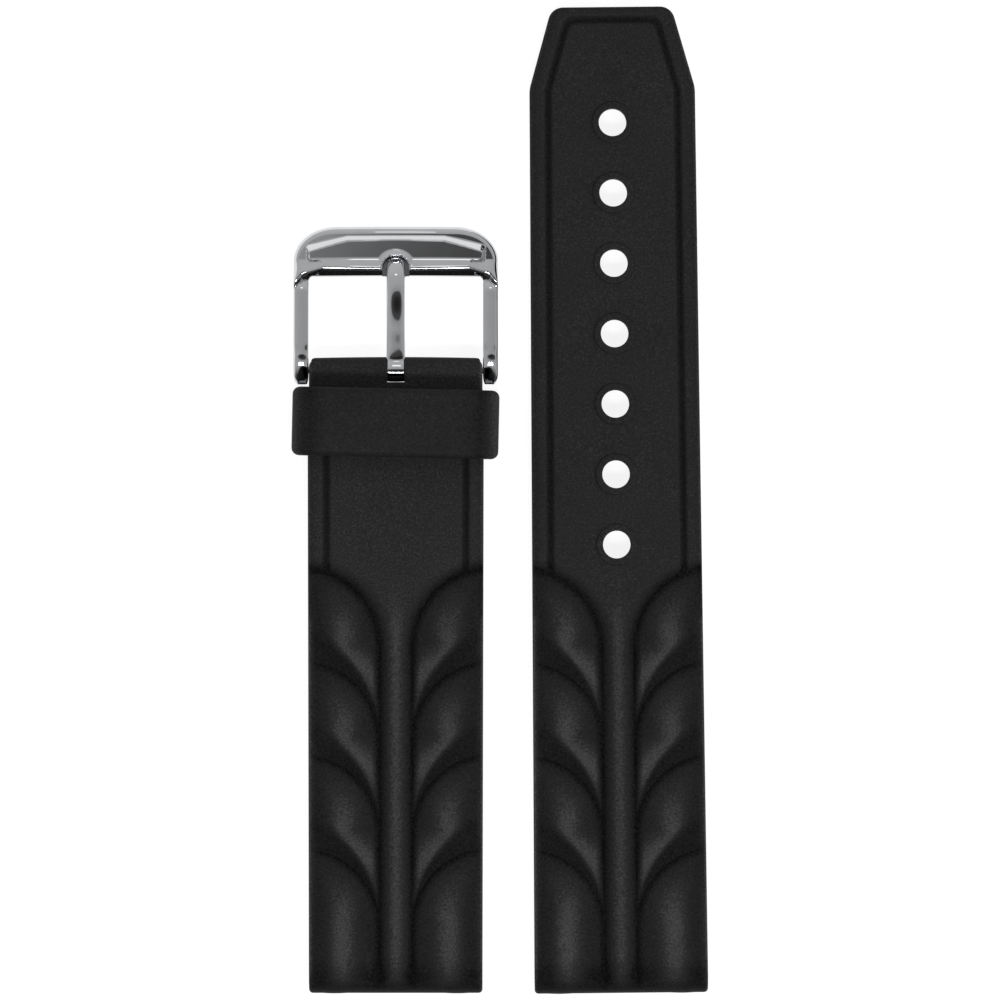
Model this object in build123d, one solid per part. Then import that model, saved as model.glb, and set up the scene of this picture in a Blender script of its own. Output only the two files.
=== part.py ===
from build123d import *
import os
from math import acos, asin, atan2, cos, degrees, hypot, radians, sin, sqrt

# A rubber dive strap in two halves, laid face up on a table, side by side.
# Lengths are in millimetres. X runs across the strap, +Y towards the buckle and the tip, +Z up.
# Each half is drawn with the axis of its lug bore over Y = 0 and its middle over X = 0.

# Both halves: the lug end
lug_width = 20.0
lug_thickness = 4.3
lug_bore_radius = 0.9
edge_radius = 0.45

# Both halves: the ear of leaves on the top face
leaf_rows = 4
leaf_first = 46.9
leaf_pitch = 10.75
leaf_line_radius = 9.1
leaf_depth = 0.6
leaf_rise = 5.4
rib_half_width = 1.84
rib_overrun = 1.15

# Both halves: the channel inside the raised border
border_width = 2.2
channel_width = 1.3
channel_floor_width = 0.5
channel_depth = 0.35

# Buckle half
bar_distance = 69.7
strap_thickness = 2.8
neck_flare = 0.3
nose_narrowing = 0.6
nose_taper_length = 4.0
side_blend_radius = 6.0
slot_side_gap = 0.17
slot_end_gap = 0.3

# Hole half
tip_distance = 111.65
field_thickness = 3.3
tip_thickness = 2.3
shoulder_narrowing = 0.9
shoulder_setback = 9.4
shoulder_radius = 2.0
tip_narrowing = 5.3
tip_corner_radius = 1.75
tip_border = 1.5
hole_count = 7
hole_radius = 1.6
hole_pitch = 8.12
hole_setback = 13.35
ring_radius = 2.35
ring_height = 0.25

# How the pieces lie: room between the keeper and the hole half, and small turns in degrees
halves_gap = 4.1
hole_half_turn = 0.58
keeper_turn = -1.2

# Keeper
keeper_length = 7.9
keeper_wall = 1.4
keeper_side_gap = 0.35
keeper_floor_gap = 0.15
keeper_head_gap = 0.4
keeper_front_gap = 0.5
keeper_outer_radius = 1.9
keeper_inner_radius = 0.6
keeper_rim_radius = 0.4

# Spring bar
tube_radius = 0.75
tube_bore_radius = 0.55
tube_end_gap = 0.3
lip_length = 0.4
lip_radius = 0.45
plunger_radius = 0.5
plunger_length = 2.6
tip_radius = 0.4
tip_engagement = 0.9
bar_fit = 0.03
spring_radius = 0.36
spring_wire_radius = 0.1
spring_wire_sides = 8
spring_turns = 14
spring_seat_gap = 0.15

# Buckle frame, drawn level with its hinge axis along X through the origin
leg_width = 1.7
leg_side_gap = 0.25
leg_end_radius = 1.65
leg_top = 1.0
frame_bottom = 1.2
window_reach = 10.95
crossbar_reach = 16.6
frame_corner_radius = 3.9
window_corner_radius = 0.5
arch_rise = 0.7
plate_rise = 0.5
plate_side_slope = 30
plate_end_setback = 1.45
plate_end_slope = 4.75
plate_front = 15.6
plate_end_front = 14.5
plate_back = 11.45
notch_radius = 1.55
notch_reach = 13.8
notch_floor = 0.9
tip_hole_gap = 0.05
tip_hole_end_gap = 0.1

# Tang
tang_width = 2.16
tang_thickness = 1.3
tang_eye_gap = 0.05
tang_eye_wall = 0.55
tang_root_height = 0.6
tang_bend_reach = 10.3
tang_bend_height = 1.95
tang_tip_gap = 0.25
tang_tip_height = 1.7

# One overrun for every cut that passes out of a face
overrun = 1.0

# Worked out from the sizes above
neck_width = lug_width + neck_flare
nose_width = neck_width - nose_narrowing
shoulder_width = lug_width - shoulder_narrowing
tip_width = shoulder_width - tip_narrowing
lug_radius = lug_thickness / 2
nose_radius = strap_thickness / 2
strap_lift = keeper_wall + keeper_floor_gap
bar_height = strap_lift + nose_radius
nose_top = strap_lift + strap_thickness
leaf_line_centre = rib_half_width + leaf_line_radius
window_width = nose_width + 2 * leg_side_gap
frame_width = window_width + 2 * leg_width
plate_half_width = frame_width / 2 - plate_end_setback
plate_flat_half_width = plate_half_width - plate_end_slope
tube_length = window_width - 2 * tube_end_gap
eye_bore_radius = tube_radius + tang_eye_gap
eye_radius = eye_bore_radius + tang_eye_wall
slot_width = tang_width + 2 * slot_side_gap
tang_tip_reach = notch_reach - tang_tip_gap - tang_thickness / 2
keeper_inner_width = neck_width + 2 * keeper_side_gap
keeper_width = keeper_inner_width + 2 * keeper_wall
half_spacing = (keeper_width + lug_width) / 2 + halves_gap
keeper_inner_height = keeper_floor_gap + strap_thickness + tip_thickness + keeper_head_gap
keeper_height = keeper_inner_height + 2 * keeper_wall
keeper_middle = bar_distance - leg_end_radius - keeper_front_gap - keeper_length / 2
shoulder_distance = tip_distance - shoulder_setback


def side_slab(points, width):
    """A side outline, given as (Y, Z) points, carried across a width centred on X = 0."""
    side = Plane.YZ * make_face(Polyline(*points, close=True))
    return extrude(side, width / 2, both=True)


def side_disc(y, z, radius, width, x=0):
    """A cylinder lying across the strap."""
    return Pos(x, y, z) * Rot(0, 90, 0) * Cylinder(radius, width)


def on_lug_end(far_y, far_z, side):
    """The (Y, Z) point where a line from a far point meets the round lug end, above or below."""
    rise = far_z - lug_radius
    angle = atan2(rise, far_y) + side * acos(lug_radius / hypot(far_y, rise))
    return (lug_radius * cos(angle), lug_radius + lug_radius * sin(angle))


def sloping_plane(near, far):
    """The plane of a top face that climbs or falls between two (Y, Z) points, based at the far one."""
    slope = (far[1] - near[1]) / (far[0] - near[0])
    return Plane(origin=(0, *far), x_dir=(1, 0, 0), z_dir=(0, -slope, 1))


def rounded_edges(body, keeps):
    """Rounds the long edges of a strap half: the rims of each upright face that is kept."""
    rims = []
    for face in body.faces():
        normal = face.normal_at(face.center())
        if abs(normal.Z) < 0.001 and keeps(face, normal):
            for edge in face.edges():
                if edge.geom_type != GeomType.LINE or abs(edge.tangent_at(0).Z) < 0.5:
                    rims.append(edge)
    return fillet(rims, edge_radius)


def leaf_section():
    """Section of one leaf line: a steep rounded side towards the rib, a long rise outwards."""
    outer = leaf_line_radius + rib_half_width
    inner = leaf_line_radius - leaf_rise
    steep_radius = (rib_half_width**2 + leaf_depth**2) / (2 * leaf_depth)
    crest = (outer, 0)
    bottom = (leaf_line_radius, -leaf_depth)
    steep = RadiusArc(bottom, crest, -steep_radius)
    rest = Polyline(crest, (outer, overrun), (inner, overrun), (inner, 0), bottom)
    return make_face([steep, rest])


def leaf_cutters():
    """What is cut from a level top face for the ear. The first line meets the edges at Y = 0."""
    section = Plane.XZ * leaf_section()
    bend = Rot(0, 0, 90) * revolve(section, Axis.Z, 90)
    groove_length = leaf_first - leaf_line_radius + rib_overrun
    groove = Rot(0, 0, 180) * extrude(section, -groove_length)
    cutters = [Pos(leaf_line_centre, -leaf_line_radius, 0) * groove]
    for row in range(leaf_rows):
        drop = leaf_line_radius + row * leaf_pitch
        cutters.append(Pos(leaf_line_centre, -drop, 0) * bend)
    return cutters + [cutter.mirror(Plane.YZ) for cutter in cutters]


def leaf_line_y(offset):
    """Where the first leaf line lies at an offset from the rib's middle."""
    drop = leaf_line_radius - sqrt(leaf_line_radius**2 - (leaf_line_centre - offset) ** 2)
    return leaf_first - drop


def channel_section():
    """Section of the border's channel, with sloping sides and a narrow floor."""
    half = channel_width / 2
    floor = channel_floor_width / 2
    return make_face(
        Polyline(
            (-half, overrun),
            (-half, 0),
            (-floor, -channel_depth),
            (floor, -channel_depth),
            (half, 0),
            (half, overrun),
            close=True,
        )
    )


def channel_cutter(path):
    """The channel's section carried along a path drawn on the top face."""
    start = Plane(origin=path @ 0, x_dir=Vector(0, 0, 1).cross(path % 0), z_dir=path % 0)
    return sweep(start * channel_section(), path=path)


def make_buckle_strap():
    """The short half: lug end, ear of leaves, plain field, slotted nose for the spring bar."""
    nose_end = bar_distance + nose_radius
    outline = [
        (lug_width / 2, -lug_radius - overrun),
        (neck_width / 2, keeper_middle),
        (nose_width / 2, keeper_middle + nose_taper_length),
        (nose_width / 2, nose_end + overrun),
    ]
    mirrored = [(-x, y) for x, y in reversed(outline)]
    plan = make_face(Polyline(*outline, *mirrored, close=True))
    bends = [v for v in plan.vertices() if 0 < v.Y < nose_end]
    plan = fillet(bends, side_blend_radius)
    lug_top = on_lug_end(leaf_first, nose_top, 1)
    side = side_slab(
        [
            (0, lug_radius),
            on_lug_end(leaf_first, strap_lift, -1),
            (leaf_first, strap_lift),
            (bar_distance, strap_lift),
            (bar_distance, nose_top),
            (leaf_first, nose_top),
            lug_top,
        ],
        2 * lug_width,
    )
    side += side_disc(0, lug_radius, lug_radius, 2 * lug_width)
    side += side_disc(bar_distance, bar_height, nose_radius, 2 * lug_width)
    body = side & extrude(plan, 2 * lug_thickness)
    body = rounded_edges(body, lambda face, normal: abs(normal.X) > 0.5)

    leaf_plane = sloping_plane(lug_top, (leaf_first, nose_top))
    body -= [leaf_plane.location * cutter for cutter in leaf_cutters()]
    channel_x = neck_width / 2 - border_width
    for side_sign in (-1, 1):
        path = Line(
            (side_sign * channel_x, leaf_line_y(channel_x) - overrun, nose_top),
            (side_sign * channel_x, keeper_middle, nose_top),
        )
        body -= channel_cutter(path)

    body -= side_disc(0, lug_radius, lug_bore_radius, 2 * lug_width)
    body -= side_disc(bar_distance, bar_height, tube_radius + bar_fit, 2 * lug_width)
    slot_start = bar_distance - eye_radius - slot_end_gap
    slot_length = nose_end + overrun - slot_start
    slot = Box(slot_width, slot_length, 2 * nose_top)
    body -= Pos(0, slot_start + slot_length / 2, nose_top) * slot
    return body


def make_hole_strap():
    """The long half: lug end, ear of leaves, field with seven ringed holes, pointed tip."""
    outline = [
        (lug_width / 2, -lug_radius - overrun),
        (shoulder_width / 2, shoulder_distance),
        (tip_width / 2, tip_distance),
    ]
    mirrored = [(-x, y) for x, y in reversed(outline)]
    plan = make_face(Polyline(*outline, *mirrored, close=True))
    shoulders = [v for v in plan.vertices() if 0 < v.Y < tip_distance - overrun]
    plan = fillet(shoulders, shoulder_radius)
    corners = [v for v in plan.vertices() if v.Y > tip_distance - overrun]
    plan = fillet(corners, tip_corner_radius)
    lug_top = on_lug_end(leaf_first, field_thickness, 1)
    side = side_slab(
        [
            (0, lug_radius),
            (0, 0),
            (tip_distance, 0),
            (tip_distance, tip_thickness),
            (leaf_first, field_thickness),
            lug_top,
        ],
        2 * lug_width,
    )
    side += side_disc(0, lug_radius, lug_radius, 2 * lug_width)
    body = side & extrude(plan, 2 * lug_thickness)
    body = rounded_edges(body, lambda face, normal: abs(normal.X) > 0.5 or face.center().Y > leaf_first)

    leaf_plane = sloping_plane(lug_top, (leaf_first, field_thickness))
    body -= [leaf_plane.location * cutter for cutter in leaf_cutters()]

    field_plane = sloping_plane((leaf_first, field_thickness), (tip_distance, tip_thickness))
    shoulder_x = shoulder_width / 2 - border_width
    start_x = lug_width / 2 - border_width
    tip_x = tip_width / 2 - border_width
    start_y = leaf_line_y(start_x) - overrun - tip_distance
    points = [
        (start_x, start_y),
        (shoulder_x, -shoulder_setback),
        (tip_x, -tip_border),
    ]
    points += [(-x, y) for x, y in reversed(points)]
    path = FilletPolyline(*points, radius=channel_width)
    body -= field_plane.location * channel_cutter(path)

    fall = (field_thickness - tip_thickness) / (tip_distance - leaf_first)
    for hole in range(hole_count):
        setback = hole_setback + hole * hole_pitch
        y = tip_distance - setback
        top = tip_thickness + fall * setback + ring_height
        body += Pos(0, y, top / 2) * Cylinder(ring_radius, top)
    for hole in range(hole_count):
        y = tip_distance - hole_setback - hole * hole_pitch
        body -= Pos(0, y, 0) * Cylinder(hole_radius, 4 * lug_thickness)
    body -= side_disc(0, lug_radius, lug_bore_radius, 2 * lug_width)
    return body


def make_keeper():
    """The loose loop round the short half, with its middle over the origin."""
    outer = RectangleRounded(keeper_width, keeper_height, keeper_outer_radius)
    inner = RectangleRounded(keeper_inner_width, keeper_inner_height, keeper_inner_radius)
    loop = extrude(Plane.XZ * (outer - inner), keeper_length / 2, both=True)
    rims = [e for e in loop.edges() if abs(abs(e.center().Y) - keeper_length / 2) < 0.001]
    loop = fillet(rims, keeper_rim_radius)
    return Pos(0, 0, keeper_height / 2) * loop


def arched_bar(low, high, back, front):
    """A bar across the frame, low and high at its ends, that arches up at its middle."""
    half = frame_width / 2
    under = ThreePointArc((-half, low), (0, low + arch_rise), (half, low))
    right = Line((half, low), (half, high))
    over = ThreePointArc((half, high), (0, high + arch_rise), (-half, high))
    left = Line((-half, high), (-half, low))
    bar = extrude(Plane.XZ * make_face([under, right, over, left]), -(front - back))
    return Pos(0, back, 0) * bar


def make_buckle_frame():
    """The frame: two legs, an arched crossbar with a raised plate, a notch for the tang."""
    half = frame_width / 2
    plan = make_face(
        Polyline(
            (-half, -leg_end_radius - overrun),
            (-half, crossbar_reach),
            (half, crossbar_reach),
            (half, -leg_end_radius - overrun),
            close=True,
        )
    )
    front_corners = [v for v in plan.vertices() if v.Y > 0]
    plan = fillet(front_corners, frame_corner_radius)
    window_length = window_reach + leg_end_radius + overrun
    window = Pos(0, window_reach - window_length / 2) * RectangleRounded(
        window_width, window_length, window_corner_radius
    )
    legs = side_slab(
        [
            (0, -leg_end_radius),
            (window_reach, -frame_bottom),
            (window_reach, leg_top),
            (0, leg_end_radius),
        ],
        frame_width,
    )
    legs += side_disc(0, 0, leg_end_radius, frame_width)
    crossbar = arched_bar(-frame_bottom, leg_top, window_reach, crossbar_reach)
    plate_side = [
        (plate_half_width, plate_back),
        (plate_half_width, plate_end_front),
        (plate_flat_half_width, plate_front),
    ]
    plate_other_side = [(-x, y) for x, y in reversed(plate_side)]
    plate_plan = make_face(Polyline(*plate_side, *plate_other_side, close=True))
    plate_height = arch_rise + plate_rise
    plate = Pos(0, 0, leg_top) * extrude(plate_plan, plate_height, taper=plate_side_slope)
    plate &= arched_bar(0, leg_top + plate_rise, plate_back, plate_front)
    plate += arched_bar(0, leg_top, window_reach, crossbar_reach) & extrude(plate_plan, leg_top)
    frame = (legs + crossbar) & extrude(plan, crossbar_reach, both=True)
    frame -= extrude(window, crossbar_reach, both=True)
    frame += plate
    notch_centre = notch_reach - notch_radius
    notch = Pos(0, notch_centre) * Circle(notch_radius)
    notch += Pos(0, notch_centre - notch_radius) * Rectangle(2 * notch_radius, 2 * notch_radius)
    frame -= Pos(0, 0, notch_floor) * extrude(notch, crossbar_reach)
    hole_depth = tip_engagement + tip_hole_end_gap
    frame -= side_disc(0, 0, tip_radius + tip_hole_gap, window_width + 2 * hole_depth)
    return frame


def make_tang():
    """The tang: an eye round the spring bar and a thick tongue that bends down into the notch."""
    points = [
        Vector(0, tang_root_height),
        Vector(tang_bend_reach, tang_bend_height),
        Vector(tang_tip_reach, tang_tip_height),
    ]
    tang = side_disc(0, 0, eye_radius, tang_width)
    for start, end in zip(points, points[1:]):
        along = (end - start).normalized()
        off = Vector(-along.Y, along.X) * (tang_thickness / 2)
        corners = [start + off, end + off, end - off, start - off]
        tang += side_slab([(c.X, c.Y) for c in corners], tang_width)
        tang += side_disc(end.X, end.Y, tang_thickness / 2, tang_width)
    tip_end = tang_tip_reach + tang_thickness / 2
    straight = tip_end - tang_width / 2 + eye_radius
    plan = Pos(0, straight / 2 - eye_radius) * Rectangle(tang_width, straight)
    plan += Pos(0, tip_end - tang_width / 2) * Circle(tang_width / 2)
    tang &= extrude(plan, tang_tip_reach, both=True)
    tang -= side_disc(0, 0, eye_bore_radius, 2 * tang_width)
    return tang


def make_spring_bar_tube():
    """The spring bar's tube, with a lip at each end that holds its plungers in."""
    tube = side_disc(0, 0, tube_radius, tube_length)
    tube -= side_disc(0, 0, tube_bore_radius, tube_length - 2 * lip_length)
    return tube - side_disc(0, 0, lip_radius, 2 * tube_length)


def make_spring_bar_tip(side_sign):
    """One plunger with its tip, which stands out of the tube into a leg."""
    shoulder = tube_length / 2 - lip_length - bar_fit
    tip_end = window_width / 2 + tip_engagement
    body = side_disc(0, 0, plunger_radius, plunger_length, side_sign * (shoulder - plunger_length / 2))
    tip_length = tip_end - shoulder
    return body + side_disc(0, 0, tip_radius, tip_length, side_sign * (shoulder + tip_length / 2))


def make_spring():
    """The coil spring between the two plungers, inside the tube."""
    room = tube_length - 2 * (lip_length + bar_fit + plunger_length + spring_seat_gap)
    height = room - 2 * spring_wire_radius
    coil = Helix(pitch=height / spring_turns, height=height, radius=spring_radius)
    start = Plane(origin=coil @ 0, z_dir=coil % 0)
    section = RegularPolygon(spring_wire_radius, spring_wire_sides)
    wire = sweep(start * section, path=coil, is_frenet=True)
    return Rot(0, 90, 0) * Pos(0, 0, -height / 2) * wire


def frame_droop():
    """How far the frame tips down about its hinge until its crossbar's corners meet the table."""
    reach = crossbar_reach - frame_corner_radius * (1 - cos(radians(45)))
    corner = hypot(reach, frame_bottom)
    return degrees(asin(bar_height / corner) - atan2(frame_bottom, reach))


droop = frame_droop()
at_bar = Pos(0, bar_distance, bar_height)
tipped = at_bar * Rot(-droop, 0, 0)
hole_half_place = Pos(half_spacing, 0, 0) * Rot(0, 0, hole_half_turn)

nodes = {
    "buckle_strap": make_buckle_strap(),
    "hole_strap": hole_half_place * make_hole_strap(),
    "keeper": Pos(0, keeper_middle, 0) * Rot(0, 0, keeper_turn) * make_keeper(),
    "buckle_frame": tipped * make_buckle_frame(),
    "tang": tipped * make_tang(),
    "spring_bar_tube": at_bar * make_spring_bar_tube(),
    "spring_bar_spring": at_bar * make_spring(),
    "spring_bar_tip_left": at_bar * make_spring_bar_tip(-1),
    "spring_bar_tip_right": at_bar * make_spring_bar_tip(1),
}

# The origin is the middle of the whole strap's footprint, on the table.
boxes = [shape.bounding_box() for shape in nodes.values()]
middle_x = (min(b.min.X for b in boxes) + max(b.max.X for b in boxes)) / 2
middle_y = (min(b.min.Y for b in boxes) + max(b.max.Y for b in boxes)) / 2
lowest = min(b.min.Z for b in boxes)
to_origin = Pos(-middle_x, -middle_y, -lowest)

os.makedirs("parts", exist_ok=True)
for name, shape in nodes.items():
    export_step(to_origin * shape, f"parts/{name}.step")

bar_place = to_origin * at_bar
hole_lug_place = to_origin * hole_half_place
print("moved by", -middle_x, -middle_y, -lowest)
print("bar axis", bar_place.position, "droop", round(droop, 3))
print("buckle half lug bore", (to_origin * Pos(0, 0, lug_radius)).position)
print("hole half lug bore", (hole_lug_place * Pos(0, 0, lug_radius)).position)
for hole in range(hole_count):
    y = tip_distance - hole_setback - hole * hole_pitch
    print("tang hole", hole + 1, (hole_lug_place * Pos(0, y, 0)).position)
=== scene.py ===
"""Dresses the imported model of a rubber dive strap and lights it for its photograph.

Meshes are drawn in millimetres, each half of the strap with the axis of its lug bore over Y = 0
and its middle over X = 0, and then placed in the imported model's frame, in metres.
"""
import logging
import math
from dataclasses import dataclass, field
from enum import Enum

import bmesh
import bpy
from mathutils import Matrix, Vector


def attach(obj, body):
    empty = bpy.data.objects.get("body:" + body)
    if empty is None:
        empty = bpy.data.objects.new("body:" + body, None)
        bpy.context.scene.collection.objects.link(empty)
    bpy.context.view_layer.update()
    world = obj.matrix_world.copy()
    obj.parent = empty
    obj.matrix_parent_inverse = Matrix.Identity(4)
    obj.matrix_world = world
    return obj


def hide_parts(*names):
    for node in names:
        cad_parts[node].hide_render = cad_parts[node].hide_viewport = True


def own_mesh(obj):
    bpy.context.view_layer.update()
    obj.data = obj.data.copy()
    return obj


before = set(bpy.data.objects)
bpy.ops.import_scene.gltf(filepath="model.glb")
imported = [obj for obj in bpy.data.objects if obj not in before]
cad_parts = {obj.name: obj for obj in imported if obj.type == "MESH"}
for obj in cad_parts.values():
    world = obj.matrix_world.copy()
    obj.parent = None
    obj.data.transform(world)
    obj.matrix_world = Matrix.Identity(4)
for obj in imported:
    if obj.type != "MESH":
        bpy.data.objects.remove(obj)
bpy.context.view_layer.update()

LOG = logging.getLogger("dive_strap")

METRES_PER_MM = 0.001
# The name of the vertex attribute that holds painted light and shade.
PAINTED_LIGHT = "painted_light"
RIGHT_ANGLE = math.radians(90.0)
BORE_SIDES = 32
# Two places closer than this, in millimetres, count as one.
CLOSE = 0.0001
BUCKLE_HALF_ORIGIN = Vector((-12.01935, -54.72714, 0.0))
HALF_SPACING = 26.0
HOLE_HALF_TURN = math.radians(0.58)
KEEPER_TURN = math.radians(-1.2)
BAR_AXIS = Vector((-12.0194, 14.9729, 2.95))
BUCKLE_DROOP = math.radians(-6.53)
BUCKLE_PLACE = Matrix.Translation(BAR_AXIS) @ Matrix.Rotation(BUCKLE_DROOP, 4, "X")


class Body(str, Enum):
    """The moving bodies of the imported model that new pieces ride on."""

    BUCKLE_HALF = "buckle_half"
    HOLE_HALF = "hole_half"
    LOOP = "loop"
    FRAME = "frame"
    TONGUE = "tongue"


class Slot(str, Enum):
    """The record's material slots."""

    RUBBER = "black_rubber"
    POLISHED = "polished_steel"
    BAR = "bar_steel"


def smooth_step(value: float) -> float:
    """Rises softly from 0 at 0 to 1 at 1."""
    held = min(max(value, 0.0), 1.0)
    return held * held * (3.0 - 2.0 * held)


def smooth_min(first: float, second: float, width: float) -> float:
    """The smaller of two values, rounded where they are within a width of each other.

    Args:
        first: One value.
        second: The other value.
        width: The difference below which the two are blended.

    Returns:
        The blended smaller value.
    """
    near = max(width - abs(first - second), 0.0) / width
    return min(first, second) - near * near * width / 4.0


def smooth_max(first: float, second: float, width: float) -> float:
    """The larger of two values, with a rounded change from one to the other."""
    return -smooth_min(-first, -second, width)


def in_steps(start: float, end: float, step: float) -> list[float]:
    """Evenly spaced values after a start, up to and with an end, about a step apart."""
    count = max(1, round(abs(end - start) / step))
    return [start + (end - start) * number / count for number in range(1, count + 1)]


def linear(hex_colour: str) -> tuple[float, float, float, float]:
    """Turns an sRGB hex colour into linear red, green, blue and alpha.

    Args:
        hex_colour: The colour as #RRGGBB.

    Returns:
        The colour as a shader socket takes it.
    """
    parts = [int(hex_colour[place:place + 2], 16) / 255 for place in (1, 3, 5)]
    red, green, blue = (
        part / 12.92 if part <= 0.04045 else ((part + 0.055) / 1.055) ** 2.4 for part in parts
    )
    return (red, green, blue, 1.0)


def add_node(
    tree: bpy.types.NodeTree, kind: str, settings: dict, links: dict | None = None
) -> bpy.types.Node:
    """Adds a node to a tree, with its settings and its links.

    Args:
        tree: The node tree.
        kind: The node's type name.
        settings: Values by property name, or by the name or number of an input socket.
        links: Output sockets by the name or number of the input socket that they feed.

    Returns:
        The new node.
    """
    node = tree.nodes.new(kind)
    for key, value in settings.items():
        if isinstance(key, str) and hasattr(node, key):
            setattr(node, key, value)
        else:
            node.inputs[key].default_value = value
    for key, source in (links or {}).items():
        tree.links.new(source, node.inputs[key])
    return node


def per_metre(size_mm: float) -> float:
    """The scale, on Object coordinates in metres, of a pattern with features of a size in mm."""
    return 1.0 / (size_mm * METRES_PER_MM)


def new_material(name: str) -> tuple[bpy.types.Material, bpy.types.NodeTree]:
    """Makes a material with an empty node tree.

    Args:
        name: The material's name.

    Returns:
        The material and its tree.
    """
    material = bpy.data.materials.new(name)
    material.use_nodes = True
    material.node_tree.nodes.clear()
    return material, material.node_tree


@dataclass(frozen=True)
class MouldedRubber:
    """Black rubber from a steel mould: nearly black and matte, with painted highlights on ridges
    and painted shade in hollows.
    """

    name: str = "MouldedBlackRubber"
    # hollow is the colour of painted shade, ridge that of a painted highlight, and plain the
    # rubber's own colour.
    hollow: str = "#050505"
    plain: str = "#262626"
    ridge: str = "#4c4c4d"
    roughness_low: float = 0.54
    roughness_high: float = 0.64
    specular_level: float = 0.06
    grain_mm: float = 0.22
    grain_detail: float = 2.0
    cloud_mm: float = 9.0
    cloud_detail: float = 3.0
    cloud_share: float = 0.12
    speck: float = 0.36
    bump_mm: float = 0.009

    def build(self) -> bpy.types.Material:
        """Makes the material.

        Returns:
            The rubber, which takes its painted highlights and painted shade from its piece's own
            attribute.
        """
        material, tree = new_material(self.name)
        where = add_node(tree, "ShaderNodeTexCoord", {}).outputs["Object"]
        cloud = add_node(
            tree, "ShaderNodeTexNoise",
            {"Scale": per_metre(self.cloud_mm), "Detail": self.cloud_detail}, {"Vector": where},
        )
        # The mould's grain is finer than a pixel, and is drawn as coarse as it needs to show.
        grain = add_node(
            tree, "ShaderNodeTexNoise",
            {"Scale": per_metre(self.grain_mm), "Detail": self.grain_detail}, {"Vector": where},
        ).outputs["Fac"]
        # Painted light read from the piece: below 0 it paints shade towards the hollow colour,
        # above 0 a highlight towards the ridge colour.
        painted_light = add_node(tree, "ShaderNodeAttribute", {"attribute_name": PAINTED_LIGHT})
        level = add_node(
            tree, "ShaderNodeMapRange", {"From Min": -1.0, "From Max": 1.0},
            {"Value": painted_light.outputs["Fac"]},
        )
        clouded = add_node(
            tree, "ShaderNodeMix", {"data_type": "FLOAT", "Factor": self.cloud_share},
            {2: level.outputs["Result"], 3: cloud.outputs["Fac"]},
        )
        speck = add_node(
            tree, "ShaderNodeMapRange", {"To Min": -self.speck, "To Max": self.speck},
            {"Value": grain},
        )
        specked = add_node(
            tree, "ShaderNodeMath", {"operation": "ADD"},
            {0: clouded.outputs[0], 1: speck.outputs["Result"]},
        )
        colour = add_node(tree, "ShaderNodeValToRGB", {}, {"Fac": specked.outputs[0]})
        ramp = colour.color_ramp.elements
        ramp[0].color = linear(self.hollow)
        ramp[1].color = linear(self.ridge)
        ramp.new(0.5).color = linear(self.plain)
        roughness = add_node(
            tree, "ShaderNodeMapRange",
            {"To Min": self.roughness_low, "To Max": self.roughness_high}, {"Value": grain},
        )
        bump = add_node(
            tree, "ShaderNodeBump", {"Strength": 1.0, "Distance": self.bump_mm * METRES_PER_MM},
            {"Height": grain},
        )
        shader = add_node(
            tree, "ShaderNodeBsdfPrincipled", {"Specular IOR Level": self.specular_level},
            {
                "Base Color": colour.outputs["Color"],
                "Roughness": roughness.outputs["Result"],
                "Normal": bump.outputs["Normal"],
            },
        )
        add_node(tree, "ShaderNodeOutputMaterial", {}, {"Surface": shader.outputs["BSDF"]})
        return material


@dataclass(frozen=True)
class Steel:
    """Stainless steel: its name, colours, roughness range, and the size of its faint marks."""

    name: str
    dark: str
    light: str
    roughness_low: float
    roughness_high: float
    mark_mm: float
    mark_stretch: tuple[float, float, float]
    mark_detail: float = 4.0

    def build(self) -> bpy.types.Material:
        """Makes the material.

        Returns:
            The steel.
        """
        material, tree = new_material(self.name)
        where = add_node(tree, "ShaderNodeTexCoord", {})
        stretched = add_node(
            tree, "ShaderNodeMapping", {"Scale": self.mark_stretch},
            {"Vector": where.outputs["Object"]},
        )
        marks = add_node(
            tree, "ShaderNodeTexNoise",
            {"Scale": per_metre(self.mark_mm), "Detail": self.mark_detail},
            {"Vector": stretched.outputs["Vector"]},
        ).outputs["Fac"]
        colour = add_node(tree, "ShaderNodeValToRGB", {}, {"Fac": marks})
        colour.color_ramp.elements[0].color = linear(self.dark)
        colour.color_ramp.elements[1].color = linear(self.light)
        roughness = add_node(
            tree, "ShaderNodeMapRange",
            {"To Min": self.roughness_low, "To Max": self.roughness_high}, {"Value": marks},
        )
        shader = add_node(
            tree, "ShaderNodeBsdfPrincipled", {"Metallic": 1.0},
            {"Base Color": colour.outputs["Color"], "Roughness": roughness.outputs["Result"]},
        )
        add_node(tree, "ShaderNodeOutputMaterial", {}, {"Surface": shader.outputs["BSDF"]})
        return material


# Mirror-polished stainless steel shows the lamps and the room sharply, with barely a mark.
POLISHED_STEEL = Steel(
    "PolishedStainlessSteel", "#c8c9cc", "#d4d5d7", 0.02, 0.05, 1.6, (1.0, 1.0, 1.0)
)
# Drawn stainless steel has a satin sheen, with fine lines along the bar.
DRAWN_STEEL = Steel(
    "DrawnStainlessSteel", "#9a9b9e", "#b4b5b8", 0.22, 0.34, 0.3, (0.05, 1.0, 1.0)
)


def made_mesh(name: str, drawn: bmesh.types.BMesh) -> bpy.types.Mesh:
    """Turns a drawn mesh, which is freed, into mesh data.

    Args:
        name: The mesh's name.
        drawn: The mesh as it was drawn.

    Returns:
        The mesh data.
    """
    mesh = bpy.data.meshes.new(name)
    drawn.to_mesh(mesh)
    drawn.free()
    return mesh


def add_object(name: str, data: bpy.types.ID) -> bpy.types.Object:
    """Adds an object to the scene.

    Args:
        name: Its name.
        data: Its mesh, lamp or camera.

    Returns:
        The object.
    """
    made = bpy.data.objects.new(name, data)
    bpy.context.collection.objects.link(made)
    return made


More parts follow.
